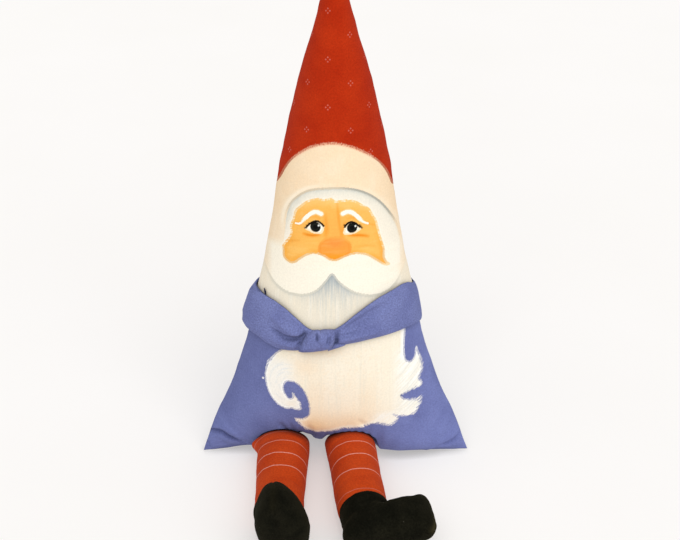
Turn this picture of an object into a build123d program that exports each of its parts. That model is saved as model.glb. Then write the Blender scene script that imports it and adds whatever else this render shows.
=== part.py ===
from build123d import *
from math import cos, radians, sin, tan
import os

os.makedirs("parts", exist_ok=True)

# Seated cloth tomte: a flat, stuffed, tapering body that runs up into a tall hat,
# two striped legs on the bottom seam, two velveteen boots and a knotted scarf.
# Millimetres. Origin on the floor under the middle of the bottom seam.
# +Z up, the doll faces -Y, +X is the doll's own left.

# ---- driving dimensions ----
recline = 12.0            # the body leans back this far
cloth = 1.0               # cotton thickness, seam allowance included
gap = 0.3                 # air between two cloth surfaces
depth_power = 0.72        # roundness of the pillow section near the side seams

# distance up the body, half width, half depth
body_stations = [
    (-30, 155, 48), (0, 146, 50), (50, 124, 55), (100, 104, 57), (150, 89, 54),
    (200, 77.5, 50), (250, 68, 46), (300, 60, 43), (350, 50, 39), (400, 38.5, 33),
    (440, 26, 24), (480, 15.3, 15.2), (510, 8, 8), (530, 2.2, 2.2),
]

hat_arc = (270.6, 65.5)   # centre height and radius of the face's top edge
coat_arc = (233.5, 111.5)  # centre height and radius of the face's bottom edge
back_hat_seam = 299.0
back_coat_seam = 165.0

lip_front = -7.0          # where the underside starts to rise
underside_rise = 30.0     # slope of the underside in front of the seam

leg_length = 143.0        # bottom seam to boot cuff
leg_radius = 25.2
left_hip_x = 13.0
left_yaw = 7.2
right_hip_x = -53.5
right_yaw = -0.4
left_roll = 82.0          # boots lie turned outward this far from toes-up
right_roll = 4.0

# distance from the seam, half width, height of the leg's top
leg_stations = [
    (4, 21, 4.6), (12, 23.5, 14), (25, 25.8, 30), (42, 26.6, 41), (60, 26.2, 48.6),
    (80, 25.6, 50.4),
]
recess_roof = [(-7.5, 12.5), (-12, 17), (-25, 33), (-42, 44), (-60, 52), (-90, 56)]
recess_half_width = 28.6

cuff_radius = 25.0
boot_drop = 60.0          # cuff to sole
left_toe_lean = -0.18     # slope of the foot: this toe is drawn back to the shin
right_toe_lean = 0.18     # and this one tips away from it
# distance towards the toe, half width, distance from cuff to the instep, to the sole
foot_stations = [
    (-24.4, 9, 33, 52), (-20, 18, 24, 57), (-8, 24, 14, 59.6), (10, 25.2, 12, 60),
    (28, 25, 11, 60), (40, 22.4, 11, 60), (50, 18.4, 12, 59), (58, 14, 16, 57), (63, 10, 22, 53),
    (65.5, 6.5, 28, 48),
]

pellet_bag = (176, 36, 22)
pellet_bag_centre = (0, 22, 13.6)


# ---- body ----
def lens(height, half_width, half_depth, power):
    """Pillow section with a seam at each side, as a face at one height."""
    steps = [-1, -0.93, -0.75, -0.4, 0, 0.4, 0.75, 0.93, 1]
    front = []
    back = []
    for f in steps:
        d = half_depth * (1 - f * f) ** power
        front.append(Vector(half_width * f, -d, height))
        back.append(Vector(half_width * f, d, height))
    return make_face([Spline(*front), Spline(*back)])


def body_solid(growth):
    """Body and hat, grown outwards by growth, in the body's own upright frame."""
    faces = []
    for height, half_width, half_depth in body_stations:
        power = depth_power
        if height > 300:
            power = max(0.52, depth_power - (height - 300) * 0.0012)
        faces.append(lens(height, half_width + growth, half_depth + growth, power))
    if growth < 0:
        last = faces.pop()
        faces.append(last.moved(Location((0, 0, growth))))
    return loft(faces)


def lean(shape):
    """Turn a shape from the body's upright frame into the leaning one."""
    return shape.rotate(Axis.X, -recline)


def side_profile(points, half_width, centre_x=0.0, yaw=0.0):
    """Prism across the doll with the given outline in Y and Z."""
    outline = Polyline(*[(0, y, z) for y, z in points], close=True)
    face = make_face(outline)
    prism = extrude(face, amount=half_width, dir=(1, 0, 0), both=True)
    prism = prism.rotate(Axis.Z, yaw)
    return prism.moved(Location((centre_x, 0, 0)))


def underside(lift):
    """Everything under the sloping front underside, raised by lift."""
    rise = tan(radians(underside_rise))
    up = lift / cos(radians(underside_rise))
    points = [
        (lip_front, -60), (lip_front, up), (lip_front - 80, up + 80 * rise),
        (lip_front - 80, -60),
    ]
    return side_profile(points, 220)


def leg_recess(hip_x, yaw, growth):
    """Hollow in the body's underside that the leg lies in."""
    points = [(-0.8 + growth, -5), (-0.8 + growth, 7 + growth)]
    for y, z in recess_roof:
        points.append((y + 0.5 * growth, z + growth))
    points.append((recess_roof[-1][0], -5))
    return side_profile(points, recess_half_width + growth, hip_x, yaw)


def floor_block(top):
    return Pos(0, 0, top - 100) * Box(500, 500, 200)


def trimmed_body(shrink):
    """Leaning body with its flat base, sloping underside and leg recesses."""
    body = lean(body_solid(-shrink))
    body = body - floor_block(shrink)
    body = body - underside(shrink)
    body = body - leg_recess(left_hip_x, left_yaw, shrink)
    body = body - leg_recess(right_hip_x, right_yaw, shrink)
    return body


def front_block():
    return lean(Pos(0, -150, 250) * Box(500, 300, 800))


outer_body = trimmed_body(0)
inner_body = trimmed_body(cloth)
body_shell = outer_body - inner_body

front_half = body_shell & front_block()
back_half = body_shell - front_block()

hat_cut = lean(Pos(0, 0, hat_arc[0] + 200) * Box(400, 400, 400))
under_face_top = lean(Pos(0, 0, hat_arc[0]) * Rot(90, 0, 0) * Cylinder(hat_arc[1], 300))
below_coat_line = lean(Pos(0, 0, coat_arc[0] - 200) * Box(500, 400, 400))
face_bottom_disc = lean(Pos(0, 0, coat_arc[0]) * Rot(90, 0, 0) * Cylinder(coat_arc[1], 300))

hat_zone = hat_cut - under_face_top
coat_zone = below_coat_line - face_bottom_disc

hat_front = front_half & hat_zone
coat_front = front_half & coat_zone
face_panel = (front_half - hat_zone) - coat_zone

back_hat_zone = lean(Pos(0, 0, back_hat_seam + 200) * Box(400, 400, 400))
back_coat_zone = lean(Pos(0, 0, back_coat_seam - 200) * Box(500, 400, 400))
hat_back = back_half & back_hat_zone
coat_back = back_half & back_coat_zone
head_back = (back_half - back_hat_zone) - back_coat_zone

# ---- filling ----
bag_box = Box(*pellet_bag)
bag_box = fillet(bag_box.edges(), 9)
bag_outer = Pos(*pellet_bag_centre) * bag_box
bag_inner_box = Box(pellet_bag[0] - 2, pellet_bag[1] - 2, pellet_bag[2] - 2)
bag_inner_box = fillet(bag_inner_box.edges(), 8)
bag_hollow = Pos(*pellet_bag_centre) * bag_inner_box
bag_cloth = bag_outer - bag_hollow
pellet_box = Box(pellet_bag[0] - 2.6, pellet_bag[1] - 2.6, pellet_bag[2] - 2.6)
pellet_box = fillet(pellet_box.edges(), 7.7)
pellets = Pos(*pellet_bag_centre) * pellet_box
bag_room_box = Box(pellet_bag[0] + 2 * gap, pellet_bag[1] + 2 * gap, pellet_bag[2] + 2 * gap)
bag_room_box = fillet(bag_room_box.edges(), 9.3)
bag_room = Pos(*pellet_bag_centre) * bag_room_box

filling = trimmed_body(cloth + gap)
neck_height = 232.0
upper_zone = lean(Pos(0, 0, neck_height + 200) * Box(500, 400, 400))
upper_room = lean(Pos(0, 0, neck_height - gap + 200) * Box(500, 400, 400))
head_filling = filling & upper_zone
body_filling = (filling - upper_room) - bag_room

# ---- scarf ----
scarf_clearance = 0.5
scarf_thickness = 3.4


def zone_between(low, high):
    """Prism across the body between a low and a high three-point curve."""
    low_a, low_mid, low_b = low
    high_a, high_mid, high_b = high
    bottom = ThreePointArc((low_a[0], 0, low_a[1]), (low_mid[0], 0, low_mid[1]),
                           (low_b[0], 0, low_b[1]))
    top = ThreePointArc((high_a[0], 0, high_a[1]), (high_mid[0], 0, high_mid[1]),
                        (high_b[0], 0, high_b[1]))
    side_a = Line((low_a[0], 0, low_a[1]), (high_a[0], 0, high_a[1]))
    side_b = Line((low_b[0], 0, low_b[1]), (high_b[0], 0, high_b[1]))
    face = make_face([bottom, side_b, top, side_a])
    return extrude(face, amount=120, dir=(0, 1, 0), both=True)


ring_inner = body_solid(scarf_clearance)
ring_outer = body_solid(scarf_clearance + scarf_thickness)
ring = ring_outer - ring_inner
front_upright = Pos(0, -150, 250) * Box(500, 300, 800)
reach = 110.0
front_zone = zone_between([(-reach, 138), (0, 126), (reach, 138)],
                          [(-reach, 196), (0, 150), (reach, 196)])
back_zone = zone_between([(-reach, 138), (0, 150), (reach, 138)],
                         [(-reach, 196), (0, 204), (reach, 196)])
scarf_band = lean((ring & front_zone & front_upright) + ((ring & back_zone) - front_upright))

knot_size = (36, 13, 25)
knot_block = Box(*knot_size)
knot_block = fillet(knot_block.edges(), 5.5)
knot_block = Pos(-16.5, -58.8 - knot_size[1] / 2, 141) * Rot(0, 0, -9.5) * knot_block
end_outline = Polyline((-10, 0, 130.5), (2, 0, 131.5), (13, 0, 137), (11, 0, 142), (-10, 0, 144),
                       close=True)
loose_end = Pos(0, -62.2, 0) * extrude(make_face(end_outline), amount=2.6, dir=(0, -1, 0))
scarf_knot = lean(knot_block + loose_end)
fold_stitch = lean(Pos(-76, -22.6, 178) * Rot(0, 24, 0) * Rot(0, 0, -45) * Cylinder(0.7, 5))


# ---- legs ----
def leg_frame(hip_x, yaw):
    """Place a leg drawn along -Y from the seam."""
    return Location((hip_x, 0, 0)) * Location((0, 0, 0), (0, 0, yaw))


def leg_solid(shrink):
    """Leg along -Y: flat at the seam, round from the belly to the cuff."""
    faces = []
    for distance, half_width, top in leg_stations:
        height = top - 0.6
        plane = Plane(origin=(0, -distance, 0.6 + height / 2), x_dir=(1, 0, 0), z_dir=(0, -1, 0))
        faces.append(plane * Ellipse(half_width - shrink, height / 2 - shrink))
    end = leg_length - 0.4
    plane = Plane(origin=(0, -end, leg_radius), x_dir=(1, 0, 0), z_dir=(0, -1, 0))
    faces.append(plane * Ellipse(leg_radius - shrink, leg_radius - 0.1 - shrink))
    return loft(faces, ruled=True)


def between(y_far, y_near):
    length = abs(y_far - y_near)
    return Pos(0, (y_far + y_near) / 2, 25) * Box(90, length, 120)


leg_outer = leg_solid(0)
leg_hollow = leg_solid(cloth) & between(-(leg_length - 0.4 - cloth), -(4 + cloth))
leg_tube = leg_outer - leg_hollow
leg_fill = leg_solid(cloth + gap) & between(-(leg_length - 0.4 - cloth - gap), -(4 + cloth + gap))


# ---- boots ----
def boot_solid(shrink, toe_lean):
    """Boot with the cuff at the origin, sole towards -Y and toe towards +Z."""
    shaft_end = boot_drop - 14
    shaft = Pos(0, -shaft_end / 2, 0) * Rot(90, 0, 0) * Cylinder(cuff_radius - shrink, shaft_end)
    faces = []
    last = len(foot_stations) - 1
    for index, (reach_out, half_width, instep, sole) in enumerate(foot_stations):
        q = reach_out
        if index == 0:
            q = reach_out + shrink
        if index == last:
            q = reach_out - shrink
        middle = (instep + sole) / 2 + toe_lean * max(reach_out, 0)
        plane = Plane(origin=(0, -middle, q), x_dir=(1, 0, 0), z_dir=(0, 0, 1))
        faces.append(plane * Ellipse(half_width - shrink, (sole - instep) / 2 - shrink))
    foot = loft(faces, ruled=True)
    return shaft + foot


def boot_pieces(toe_lean):
    """The +X side panel, the -X side panel and the filling of a boot."""
    outer = boot_solid(0, toe_lean)
    hollow = boot_solid(cloth, toe_lean) & between(-200, -cloth)
    skin = outer - hollow
    fill = boot_solid(cloth + gap, toe_lean) & between(-200, -(cloth + gap))
    plus_block = Pos(60, -50, 20) * Box(120, 300, 300)
    return skin & plus_block, skin - plus_block, fill


left_plus_side, left_minus_side, left_boot_fill = boot_pieces(left_toe_lean)
right_plus_side, right_minus_side, right_boot_fill = boot_pieces(right_toe_lean)


def boot_place(hip_x, yaw, roll):
    """Put a boot on the end of its leg, toe turned towards +X by roll."""
    leg = leg_frame(hip_x, yaw)
    return leg * Location((0, -leg_length, leg_radius)) * Location((0, 0, 0), (0, roll, 0))


left_leg_at = leg_frame(left_hip_x, left_yaw)
right_leg_at = leg_frame(right_hip_x, right_yaw)
left_boot_at = boot_place(left_hip_x, left_yaw, left_roll)
right_boot_at = boot_place(right_hip_x, right_yaw, -right_roll)

sub_parts = {
    "hat_front_panel": hat_front,
    "hat_back_panel": hat_back,
    "face_panel": face_panel,
    "head_back_panel": head_back,
    "coat_front_panel": coat_front,
    "coat_back_panel": coat_back,
    "head_stuffing": head_filling,
    "body_stuffing": body_filling,
    "pellet_bag": bag_cloth,
    "pellets": pellets,
    "scarf_band": scarf_band,
    "scarf_knot": scarf_knot,
    "scarf_fold_stitch": fold_stitch,
    "left_leg_tube": leg_tube.moved(left_leg_at),
    "left_leg_stuffing": leg_fill.moved(left_leg_at),
    "right_leg_tube": leg_tube.moved(right_leg_at),
    "right_leg_stuffing": leg_fill.moved(right_leg_at),
    "left_boot_inner_side": left_minus_side.moved(left_boot_at),
    "left_boot_outer_side": left_plus_side.moved(left_boot_at),
    "left_boot_stuffing": left_boot_fill.moved(left_boot_at),
    "right_boot_inner_side": right_plus_side.moved(right_boot_at),
    "right_boot_outer_side": right_minus_side.moved(right_boot_at),
    "right_boot_stuffing": right_boot_fill.moved(right_boot_at),
}

for name, shape in sub_parts.items():
    export_step(shape, "parts/" + name + ".step")
    box = shape.bounding_box()
    print(name, round(shape.volume), len(shape.solids()), box.min, box.max)
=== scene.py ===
import bpy
import math
import numpy as np
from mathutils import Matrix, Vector


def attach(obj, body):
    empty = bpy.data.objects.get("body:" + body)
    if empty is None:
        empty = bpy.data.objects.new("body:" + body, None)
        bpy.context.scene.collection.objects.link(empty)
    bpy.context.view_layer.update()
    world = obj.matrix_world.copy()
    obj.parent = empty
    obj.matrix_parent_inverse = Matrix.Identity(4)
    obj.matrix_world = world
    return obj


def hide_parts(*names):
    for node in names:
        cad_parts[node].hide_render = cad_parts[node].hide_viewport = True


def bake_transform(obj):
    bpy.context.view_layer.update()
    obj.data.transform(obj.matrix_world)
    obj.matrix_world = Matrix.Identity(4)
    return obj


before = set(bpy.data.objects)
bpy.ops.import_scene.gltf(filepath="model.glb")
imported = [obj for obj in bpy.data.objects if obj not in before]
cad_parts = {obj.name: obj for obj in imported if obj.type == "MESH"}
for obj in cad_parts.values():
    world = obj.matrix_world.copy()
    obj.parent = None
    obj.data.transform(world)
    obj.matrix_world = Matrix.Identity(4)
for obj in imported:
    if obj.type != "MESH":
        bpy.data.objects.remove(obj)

scene = bpy.context.scene
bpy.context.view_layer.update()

# Lengths in the making are millimetres. The body's own frame is (x, back, along):
# x across, back away from the face, along up the leaning body.
LEAN = math.radians(12.0)
CENTRE_X = 1.5
COAT_TOP = 150      # the coat's seam under the scarf, on the front
COAT_TOP_REAR = 165
HAT_LOW_REAR = 299  # the hat's straight seam at the back
LEG_AXIS_Z = 25.2   # height of a leg's middle
LEG_LENGTH = 143    # hip to boot cuff


# ---------------------------------------------------------------- small tools
def place(x, back, along):
    y = along * math.sin(LEAN) + back * math.cos(LEAN)
    z = along * math.cos(LEAN) - back * math.sin(LEAN)
    return np.stack([x, y, z], axis=-1)


def soft_table(points, x, blur=6.0):
    """Smooth curve through a short table."""
    points = np.array(points, float)
    grid = np.arange(points[0, 0] - 60, points[-1, 0] + 60, 1.0)
    values = np.interp(grid, points[:, 0], points[:, 1])
    low = grid < points[0, 0]
    high = grid > points[-1, 0]
    slope_a = (points[1, 1] - points[0, 1]) / (points[1, 0] - points[0, 0])
    slope_b = (points[-1, 1] - points[-2, 1]) / (points[-1, 0] - points[-2, 0])
    values[low] = points[0, 1] + slope_a * (grid[low] - points[0, 0])
    values[high] = points[-1, 1] + slope_b * (grid[high] - points[-1, 0])
    reach = np.arange(-int(3 * blur), int(3 * blur) + 1)
    kernel = np.exp(-0.5 * (reach / blur) ** 2)
    kernel /= kernel.sum()
    padded = np.pad(values, len(reach) // 2, mode="edge")
    return np.interp(x, grid, np.convolve(padded, kernel, mode="valid"))


def rounded(points, closed=True, steps=8):
    """Catmull-Rom curve through a short list of points."""
    p = np.array(points, float)
    count = len(p)
    out = []
    last = count if closed else count - 1
    for i in range(last):
        if closed:
            a, b, c, d = p[i - 1], p[i], p[(i + 1) % count], p[(i + 2) % count]
        else:
            a, b = p[max(i - 1, 0)], p[i]
            c, d = p[i + 1], p[min(i + 2, count - 1)]
        for t in np.arange(steps) / steps:
            out.append(0.5 * (2 * b + (c - a) * t + (2 * a - 5 * b + 4 * c - d) * t * t
                              + (3 * b - 3 * c + d - a) * t ** 3))
    if not closed:
        out.append(p[-1])
    return np.array(out)


def line_distance(x, y, line, closed=False, reach=30.0):
    """Distance to a polyline, and the share of its length at the nearest point."""
    pts = np.vstack([line, line[:1]]) if closed else line
    out = np.full(x.shape, reach)
    where = np.zeros(x.shape)
    lo, hi = pts.min(0) - reach, pts.max(0) + reach
    near = (x > lo[0]) & (x < hi[0]) & (y > lo[1]) & (y < hi[1])
    px, py = x[near], y[near]
    best = np.full(px.shape, reach)
    spot = np.zeros(px.shape)
    lengths = np.hypot(*(pts[1:] - pts[:-1]).T)
    total = max(lengths.sum(), 1e-9)
    run = 0.0
    for a, b, seg in zip(pts[:-1], pts[1:], lengths):
        d = b - a
        t = np.clip(((px - a[0]) * d[0] + (py - a[1]) * d[1]) / max(seg * seg, 1e-12), 0, 1)
        dist = np.hypot(px - a[0] - t * d[0], py - a[1] - t * d[1])
        closer = dist < best
        best[closer] = dist[closer]
        spot[closer] = ((run + t * seg) / total)[closer]
        run += seg
    out[near] = best
    where[near] = spot
    return out, where


def inside_distance(x, y, outline, reach=30.0):
    """Signed distance to a closed outline, positive inside."""
    d, _ = line_distance(x, y, outline, closed=True, reach=reach)
    inside = np.zeros(x.shape, bool)
    for (ax, ay), (bx, by) in zip(outline, np.roll(outline, -1, axis=0)):
        if ay != by:
            inside ^= ((ay > y) != (by > y)) & (x < (bx - ax) * (y - ay) / (by - ay) + ax)
    return np.where(inside, d, -d)


def lattice(ix, iy, seed):
    n = (ix.astype(np.int64) * 374761393 + iy.astype(np.int64) * 668265263 + seed * 974634777)
    n = (n ^ (n >> 13)) * 1274126177
    return ((n ^ (n >> 16)) & 0xFFFF) / 65535.0


def grain(x, y, seed=0, octaves=3):
    """Smooth value noise, 0 to 1."""
    total = 0.0
    weight = 0.0
    for k in range(octaves):
        f = 2.0 ** k
        w = 0.55 ** k
        xx, yy = x * f + 17.3 * k, y * f - 9.1 * k
        ix, iy = np.floor(xx), np.floor(yy)
        tx, ty = xx - ix, yy - iy
        tx, ty = tx * tx * (3 - 2 * tx), ty * ty * (3 - 2 * ty)
        v00, v10 = lattice(ix, iy, seed + k), lattice(ix + 1, iy, seed + k)
        v01, v11 = lattice(ix, iy + 1, seed + k), lattice(ix + 1, iy + 1, seed + k)
        total = total + w * ((v00 * (1 - tx) + v10 * tx) * (1 - ty) + (v01 * (1 - tx) + v11 * tx) * ty)
        weight += w
    return total / weight


def strokes(x, y, angle, length, width, seed=0, octaves=3):
    """Noise drawn out into brush strokes at an angle in degrees."""
    c, s = math.cos(math.radians(angle)), math.sin(math.radians(angle))
    return grain((x * c + y * s) / length, (y * c - x * s) / width, seed, octaves)


def ramp(v, low, high):
    t = np.clip((v - low) / (high - low), 0, 1)
    return t * t * (3 - 2 * t)


def bell(v, width):
    """A smooth bump, 1 at zero and fading over the width."""
    return np.exp(-(v / width) ** 2)


def linear(colour):
    c = np.asarray(colour, float) / 255.0
    return np.where(c <= 0.04045, c / 12.92, ((c + 0.055) / 1.055) ** 2.4)


def rgba(colour):
    return tuple(linear(colour)) + (1.0,)


class Paint:
    """Layers of paint over cloth, one colour and one coverage per point."""

    def __init__(self, count):
        self.colour = np.tile(np.array([249.0, 230.0, 200.0]), (count, 1))
        self.cover = np.zeros(count)
        self.feather = np.zeros(count)
        self.brush = np.zeros((count, 3))

    def lay(self, colour, mask):
        mask = np.clip(mask, 0, 1)
        self.colour += (np.array(colour, float) - self.colour) * mask[:, None]


def grid_faces(rows, cols, flip=False, wrap=False, keep=None):
    i = np.arange(rows - 1)[:, None]
    j = np.arange(cols if wrap else cols - 1)[None, :]
    k = (j + 1) % cols
    quads = np.stack([i * cols + j, i * cols + k, (i + 1) * cols + k, (i + 1) * cols + j], -1)
    quads = quads.reshape(-1, 4)
    if keep is not None:
        quads = quads[keep.reshape(-1)]
    if flip:
        quads = quads[:, ::-1]
    return quads


def capped(grid):
    """Faces of a closed tube, from its rings of points and a cap at each end."""
    rows, cols = grid.shape[:2]
    return [grid_faces(rows, cols, wrap=True), np.arange(cols)[None, ::-1],
            (np.arange(cols) + (rows - 1) * cols)[None, :]]


def mesh_object(name, points, faces, body, nodes=(), normals=None, attributes=None,
                material=None):
    """Mesh from a grid or list of points in millimetres, with only the points its faces use."""
    points = points.reshape(-1, 3)
    used = np.zeros(len(points), bool)
    groups = faces if isinstance(faces, list) else [faces]
    for group in groups:
        used[np.asarray(group).reshape(-1)] = True
    index = np.cumsum(used) - 1
    mesh = bpy.data.meshes.new(name)
    all_faces = [face for group in groups for face in index[np.asarray(group)].tolist()]
    mesh.from_pydata((points[used] * 0.001).tolist(), [], all_faces)
    for key, values in (attributes or {}).items():
        values = values.reshape(len(points), -1)[used]
        if values.shape[1] == 1:
            kind, field = "FLOAT", "value"
        elif key == "colour":
            kind, field = "FLOAT_COLOR", "color"
            values = np.hstack([values, np.ones((len(values), 1))])
        else:
            kind, field = "FLOAT_VECTOR", "vector"
        layer = mesh.attributes.new(key, kind, "POINT")
        layer.data.foreach_set(field, values.astype(np.float32).reshape(-1))
    mesh.polygons.foreach_set("use_smooth", [True] * len(mesh.polygons))
    mesh.update()
    if normals is not None:
        mesh.normals_split_custom_set_from_vertices(normals.reshape(-1, 3)[used].tolist())
    obj = bpy.data.objects.new(name, mesh)
    scene.collection.objects.link(obj)
    if material is not None:
        mesh.materials.append(material)
    if body:
        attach(obj, body)
    if nodes:
        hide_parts(*nodes)
    return obj


def grid_normals(p, outward):
    du = np.gradient(p, axis=0)
    dv = np.gradient(p, axis=1)
    n = np.cross(du, dv)
    n /= np.maximum(np.linalg.norm(n, axis=-1, keepdims=True), 1e-9)
    centre = n[p.shape[0] // 2, p.shape[1] // 2]
    if np.dot(centre, outward) < 0:
        n = -n
    return n


# ---------------------------------------------------------------- materials
class Cloth:
    """Builds one node material."""

    def __init__(self, name):
        self.material = bpy.data.materials.new(name)
        self.material.use_nodes = True
        self.tree = self.material.node_tree
        self.shader = self.tree.nodes["Principled BSDF"]

    def add(self, kind, **settings):
        node = self.tree.nodes.new(kind)
        for key, value in settings.items():
            setattr(node, key, value)
        return node

    def link(self, source, target):
        if isinstance(source, (int, float, tuple)):
            target.default_value = source
        else:
            self.tree.links.new(source, target)

    def attribute(self, name, output="Fac"):
        return self.add("ShaderNodeAttribute", attribute_name=name).outputs[output]

    def place(self):
        return self.attribute("cloth", "Vector")

    def math(self, operation, a, b=0.0, clamp=False):
        node = self.add("ShaderNodeMath", operation=operation, use_clamp=clamp)
        self.link(a, node.inputs[0])
        self.link(b, node.inputs[1])
        return node.outputs[0]

    def plus(self, a, b):
        return self.math("ADD", a, b)

    def minus(self, a, b):
        return self.math("SUBTRACT", a, b)

    def times(self, a, b):
        return self.math("MULTIPLY", a, b)

    def split(self, vector):
        node = self.add("ShaderNodeSeparateXYZ")
        self.link(vector, node.inputs[0])
        return node.outputs

    def scaled(self, vector, factors):
        node = self.add("ShaderNodeVectorMath", operation="MULTIPLY")
        self.link(vector, node.inputs[0])
        node.inputs[1].default_value = factors
        return node.outputs[0]

    def noise(self, vector, scale, detail=4.0, rough=0.55):
        node = self.add("ShaderNodeTexNoise")
        self.link(vector, node.inputs["Vector"])
        for key, number in (("Scale", scale), ("Detail", detail), ("Roughness", rough)):
            node.inputs[key].default_value = number
        return node.outputs["Fac"]

    def range(self, value, low, high, out_low=0.0, out_high=1.0):
        node = self.add("ShaderNodeMapRange")
        self.link(value, node.inputs["Value"])
        for key, number in (("From Min", low), ("From Max", high), ("To Min", out_low),
                            ("To Max", out_high)):
            node.inputs[key].default_value = number
        return node.outputs["Result"]

    def mix(self, share, a, b, blend="MIX"):
        node = self.add("ShaderNodeMix", data_type="RGBA", blend_type=blend)
        self.link(share, node.inputs[0])
        self.link(a, node.inputs[6])
        self.link(b, node.inputs[7])
        return node.outputs[2]

    def tint(self, base, by):
        return self.mix(1.0, base, by, "MULTIPLY")

    def weave(self, vector, threads, depth=0.5):
        """Plain weave: two crossed sets of threads, threads per millimetre."""
        split = self.split(vector)
        wobble = self.noise(vector, 0.5, 2.0)
        wobble = self.times(wobble, 1.6)
        over = self.plus(self.times(split[0], threads * math.tau / 2), wobble)
        under = self.plus(self.times(split[1], threads * math.tau / 2), wobble)
        a = self.math("SINE", over)
        b = self.math("SINE", under)
        cross = self.times(a, b)
        slub = self.noise(self.scaled(vector, (3.0, 0.25, 1.0)), 1.0, 3.0)
        slub_b = self.noise(self.scaled(vector, (0.25, 3.0, 1.0)), 1.0, 3.0)
        mixed = self.plus(self.times(cross, 0.25), self.plus(slub, slub_b))
        return self.times(mixed, depth)

    def bump(self, height, strength, distance):
        node = self.add("ShaderNodeBump")
        node.inputs["Strength"].default_value = strength
        node.inputs["Distance"].default_value = distance
        self.link(height, node.inputs["Height"])
        self.tree.links.new(node.outputs["Normal"], self.shader.inputs["Normal"])

    def finish(self, colour, rough=0.9, sheen=0.02, sheen_tint=(1, 1, 1, 1), specular=0.05,
               shade=0.3):
        # Painted shade: an ambient occlusion node darkens the base colour in creases and hollows, where parts
        # meet and on the floor beside them; shade is the colour's factor in the deepest hollows.
        near = self.add("ShaderNodeAmbientOcclusion", samples=6)
        near.inputs["Distance"].default_value = 0.011
        painted_crease_shade = self.range(near.outputs["AO"], 0.2, 0.95, shade, 1.0)
        self.link(self.tint(colour, painted_crease_shade), self.shader.inputs["Base Color"])
        if isinstance(rough, float):
            self.shader.inputs["Roughness"].default_value = rough
        else:
            self.tree.links.new(rough, self.shader.inputs["Roughness"])
        self.shader.inputs["Sheen Weight"].default_value = sheen
        self.shader.inputs["Sheen Roughness"].default_value = 0.6
        self.shader.inputs["Sheen Tint"].default_value = sheen_tint
        self.shader.inputs["Specular IOR Level"].default_value = specular
        return self.material


def thready(m, v, weave, nap=0.16):
    """Brightness of the threads, darker in the gaps and uneven from thread to thread."""
    thread = m.noise(v, 0.46 + 0.4 * nap, 3.0, 0.75)
    return m.times(m.range(weave, 0.3, 0.75, 0.9, 1.07), m.range(thread, 0.3, 0.7, 1 - nap, 1 + nap))


def cotton(name, dark, light, threads=2.2, sheen=0.03, mottle=0.03, nap=0.16):
    """Dyed plain cotton with slubs, uneven dye and a little fuzz."""
    m = Cloth(name)
    v = m.place()
    cloud = m.noise(v, mottle, 4.0)
    weave = m.weave(v, threads)
    base = m.mix(m.range(cloud, 0.35, 0.65), rgba(dark), rgba(light))
    base = m.tint(base, thready(m, v, weave, nap))
    m.bump(weave, 0.35, 0.0004)
    m.finish(base, rough=m.range(cloud, 0.2, 0.8, 0.8, 0.95), sheen=sheen)
    return m.material


def painted_cloth(name, ground):
    """Cloth with paint brushed over it; ground makes the cloth's own colour."""
    m = Cloth(name)
    v = m.place()
    weave = m.weave(v, 1.6)
    cloth = ground(m, v, weave)
    paint = m.attribute("colour", "Color")
    bristles = m.range(m.noise(m.attribute("brush", "Vector"), 1.0, 3.0), 0.28, 0.72, -1.0, 1.0)
    edge = m.plus(m.attribute("cover"), m.times(bristles, m.attribute("feather")))
    fine = m.noise(v, 0.9, 2.0)
    edge = m.plus(edge, m.range(fine, 0.3, 0.7, -0.22, 0.22))
    soft = m.range(m.attribute("feather"), 0.0, 3.0, 0.42, 1.5)
    share = m.range(m.math("DIVIDE", edge, soft), -1.0, 1.0)
    dabs = m.noise(m.scaled(v, (0.5, 0.12, 1.0)), 1.0, 4.0)
    tone = m.range(dabs, 0.25, 0.75, 0.972, 1.02)
    tone = m.times(tone, m.range(weave, 0.3, 0.75, 0.96, 1.02))
    thread = m.noise(v, 0.5, 3.0, 0.7)
    tone = m.times(tone, m.range(thread, 0.3, 0.7, 0.93, 1.03))
    paint = m.tint(paint, tone)
    base = m.mix(share, cloth, paint)
    ridge = m.plus(m.times(share, 0.35), m.times(weave, 0.55))
    ridge = m.plus(ridge, m.times(dabs, 0.5))
    m.bump(ridge, 0.3, 0.0005)
    m.finish(base, rough=m.range(share, 0.0, 1.0, 0.9, 0.8), sheen=0.02, specular=0.05, shade=0.8)
    return m.material


HAT_DARK, HAT_LIGHT = (170, 40, 9), (181, 48, 13)
COAT_DARK, COAT_LIGHT = (101, 108, 158), (112, 120, 171)
SCARF_DARK, SCARF_LIGHT = (106, 113, 163), (118, 126, 176)
LEG_DARK, LEG_LIGHT = (181, 58, 14), (193, 68, 21)


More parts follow.
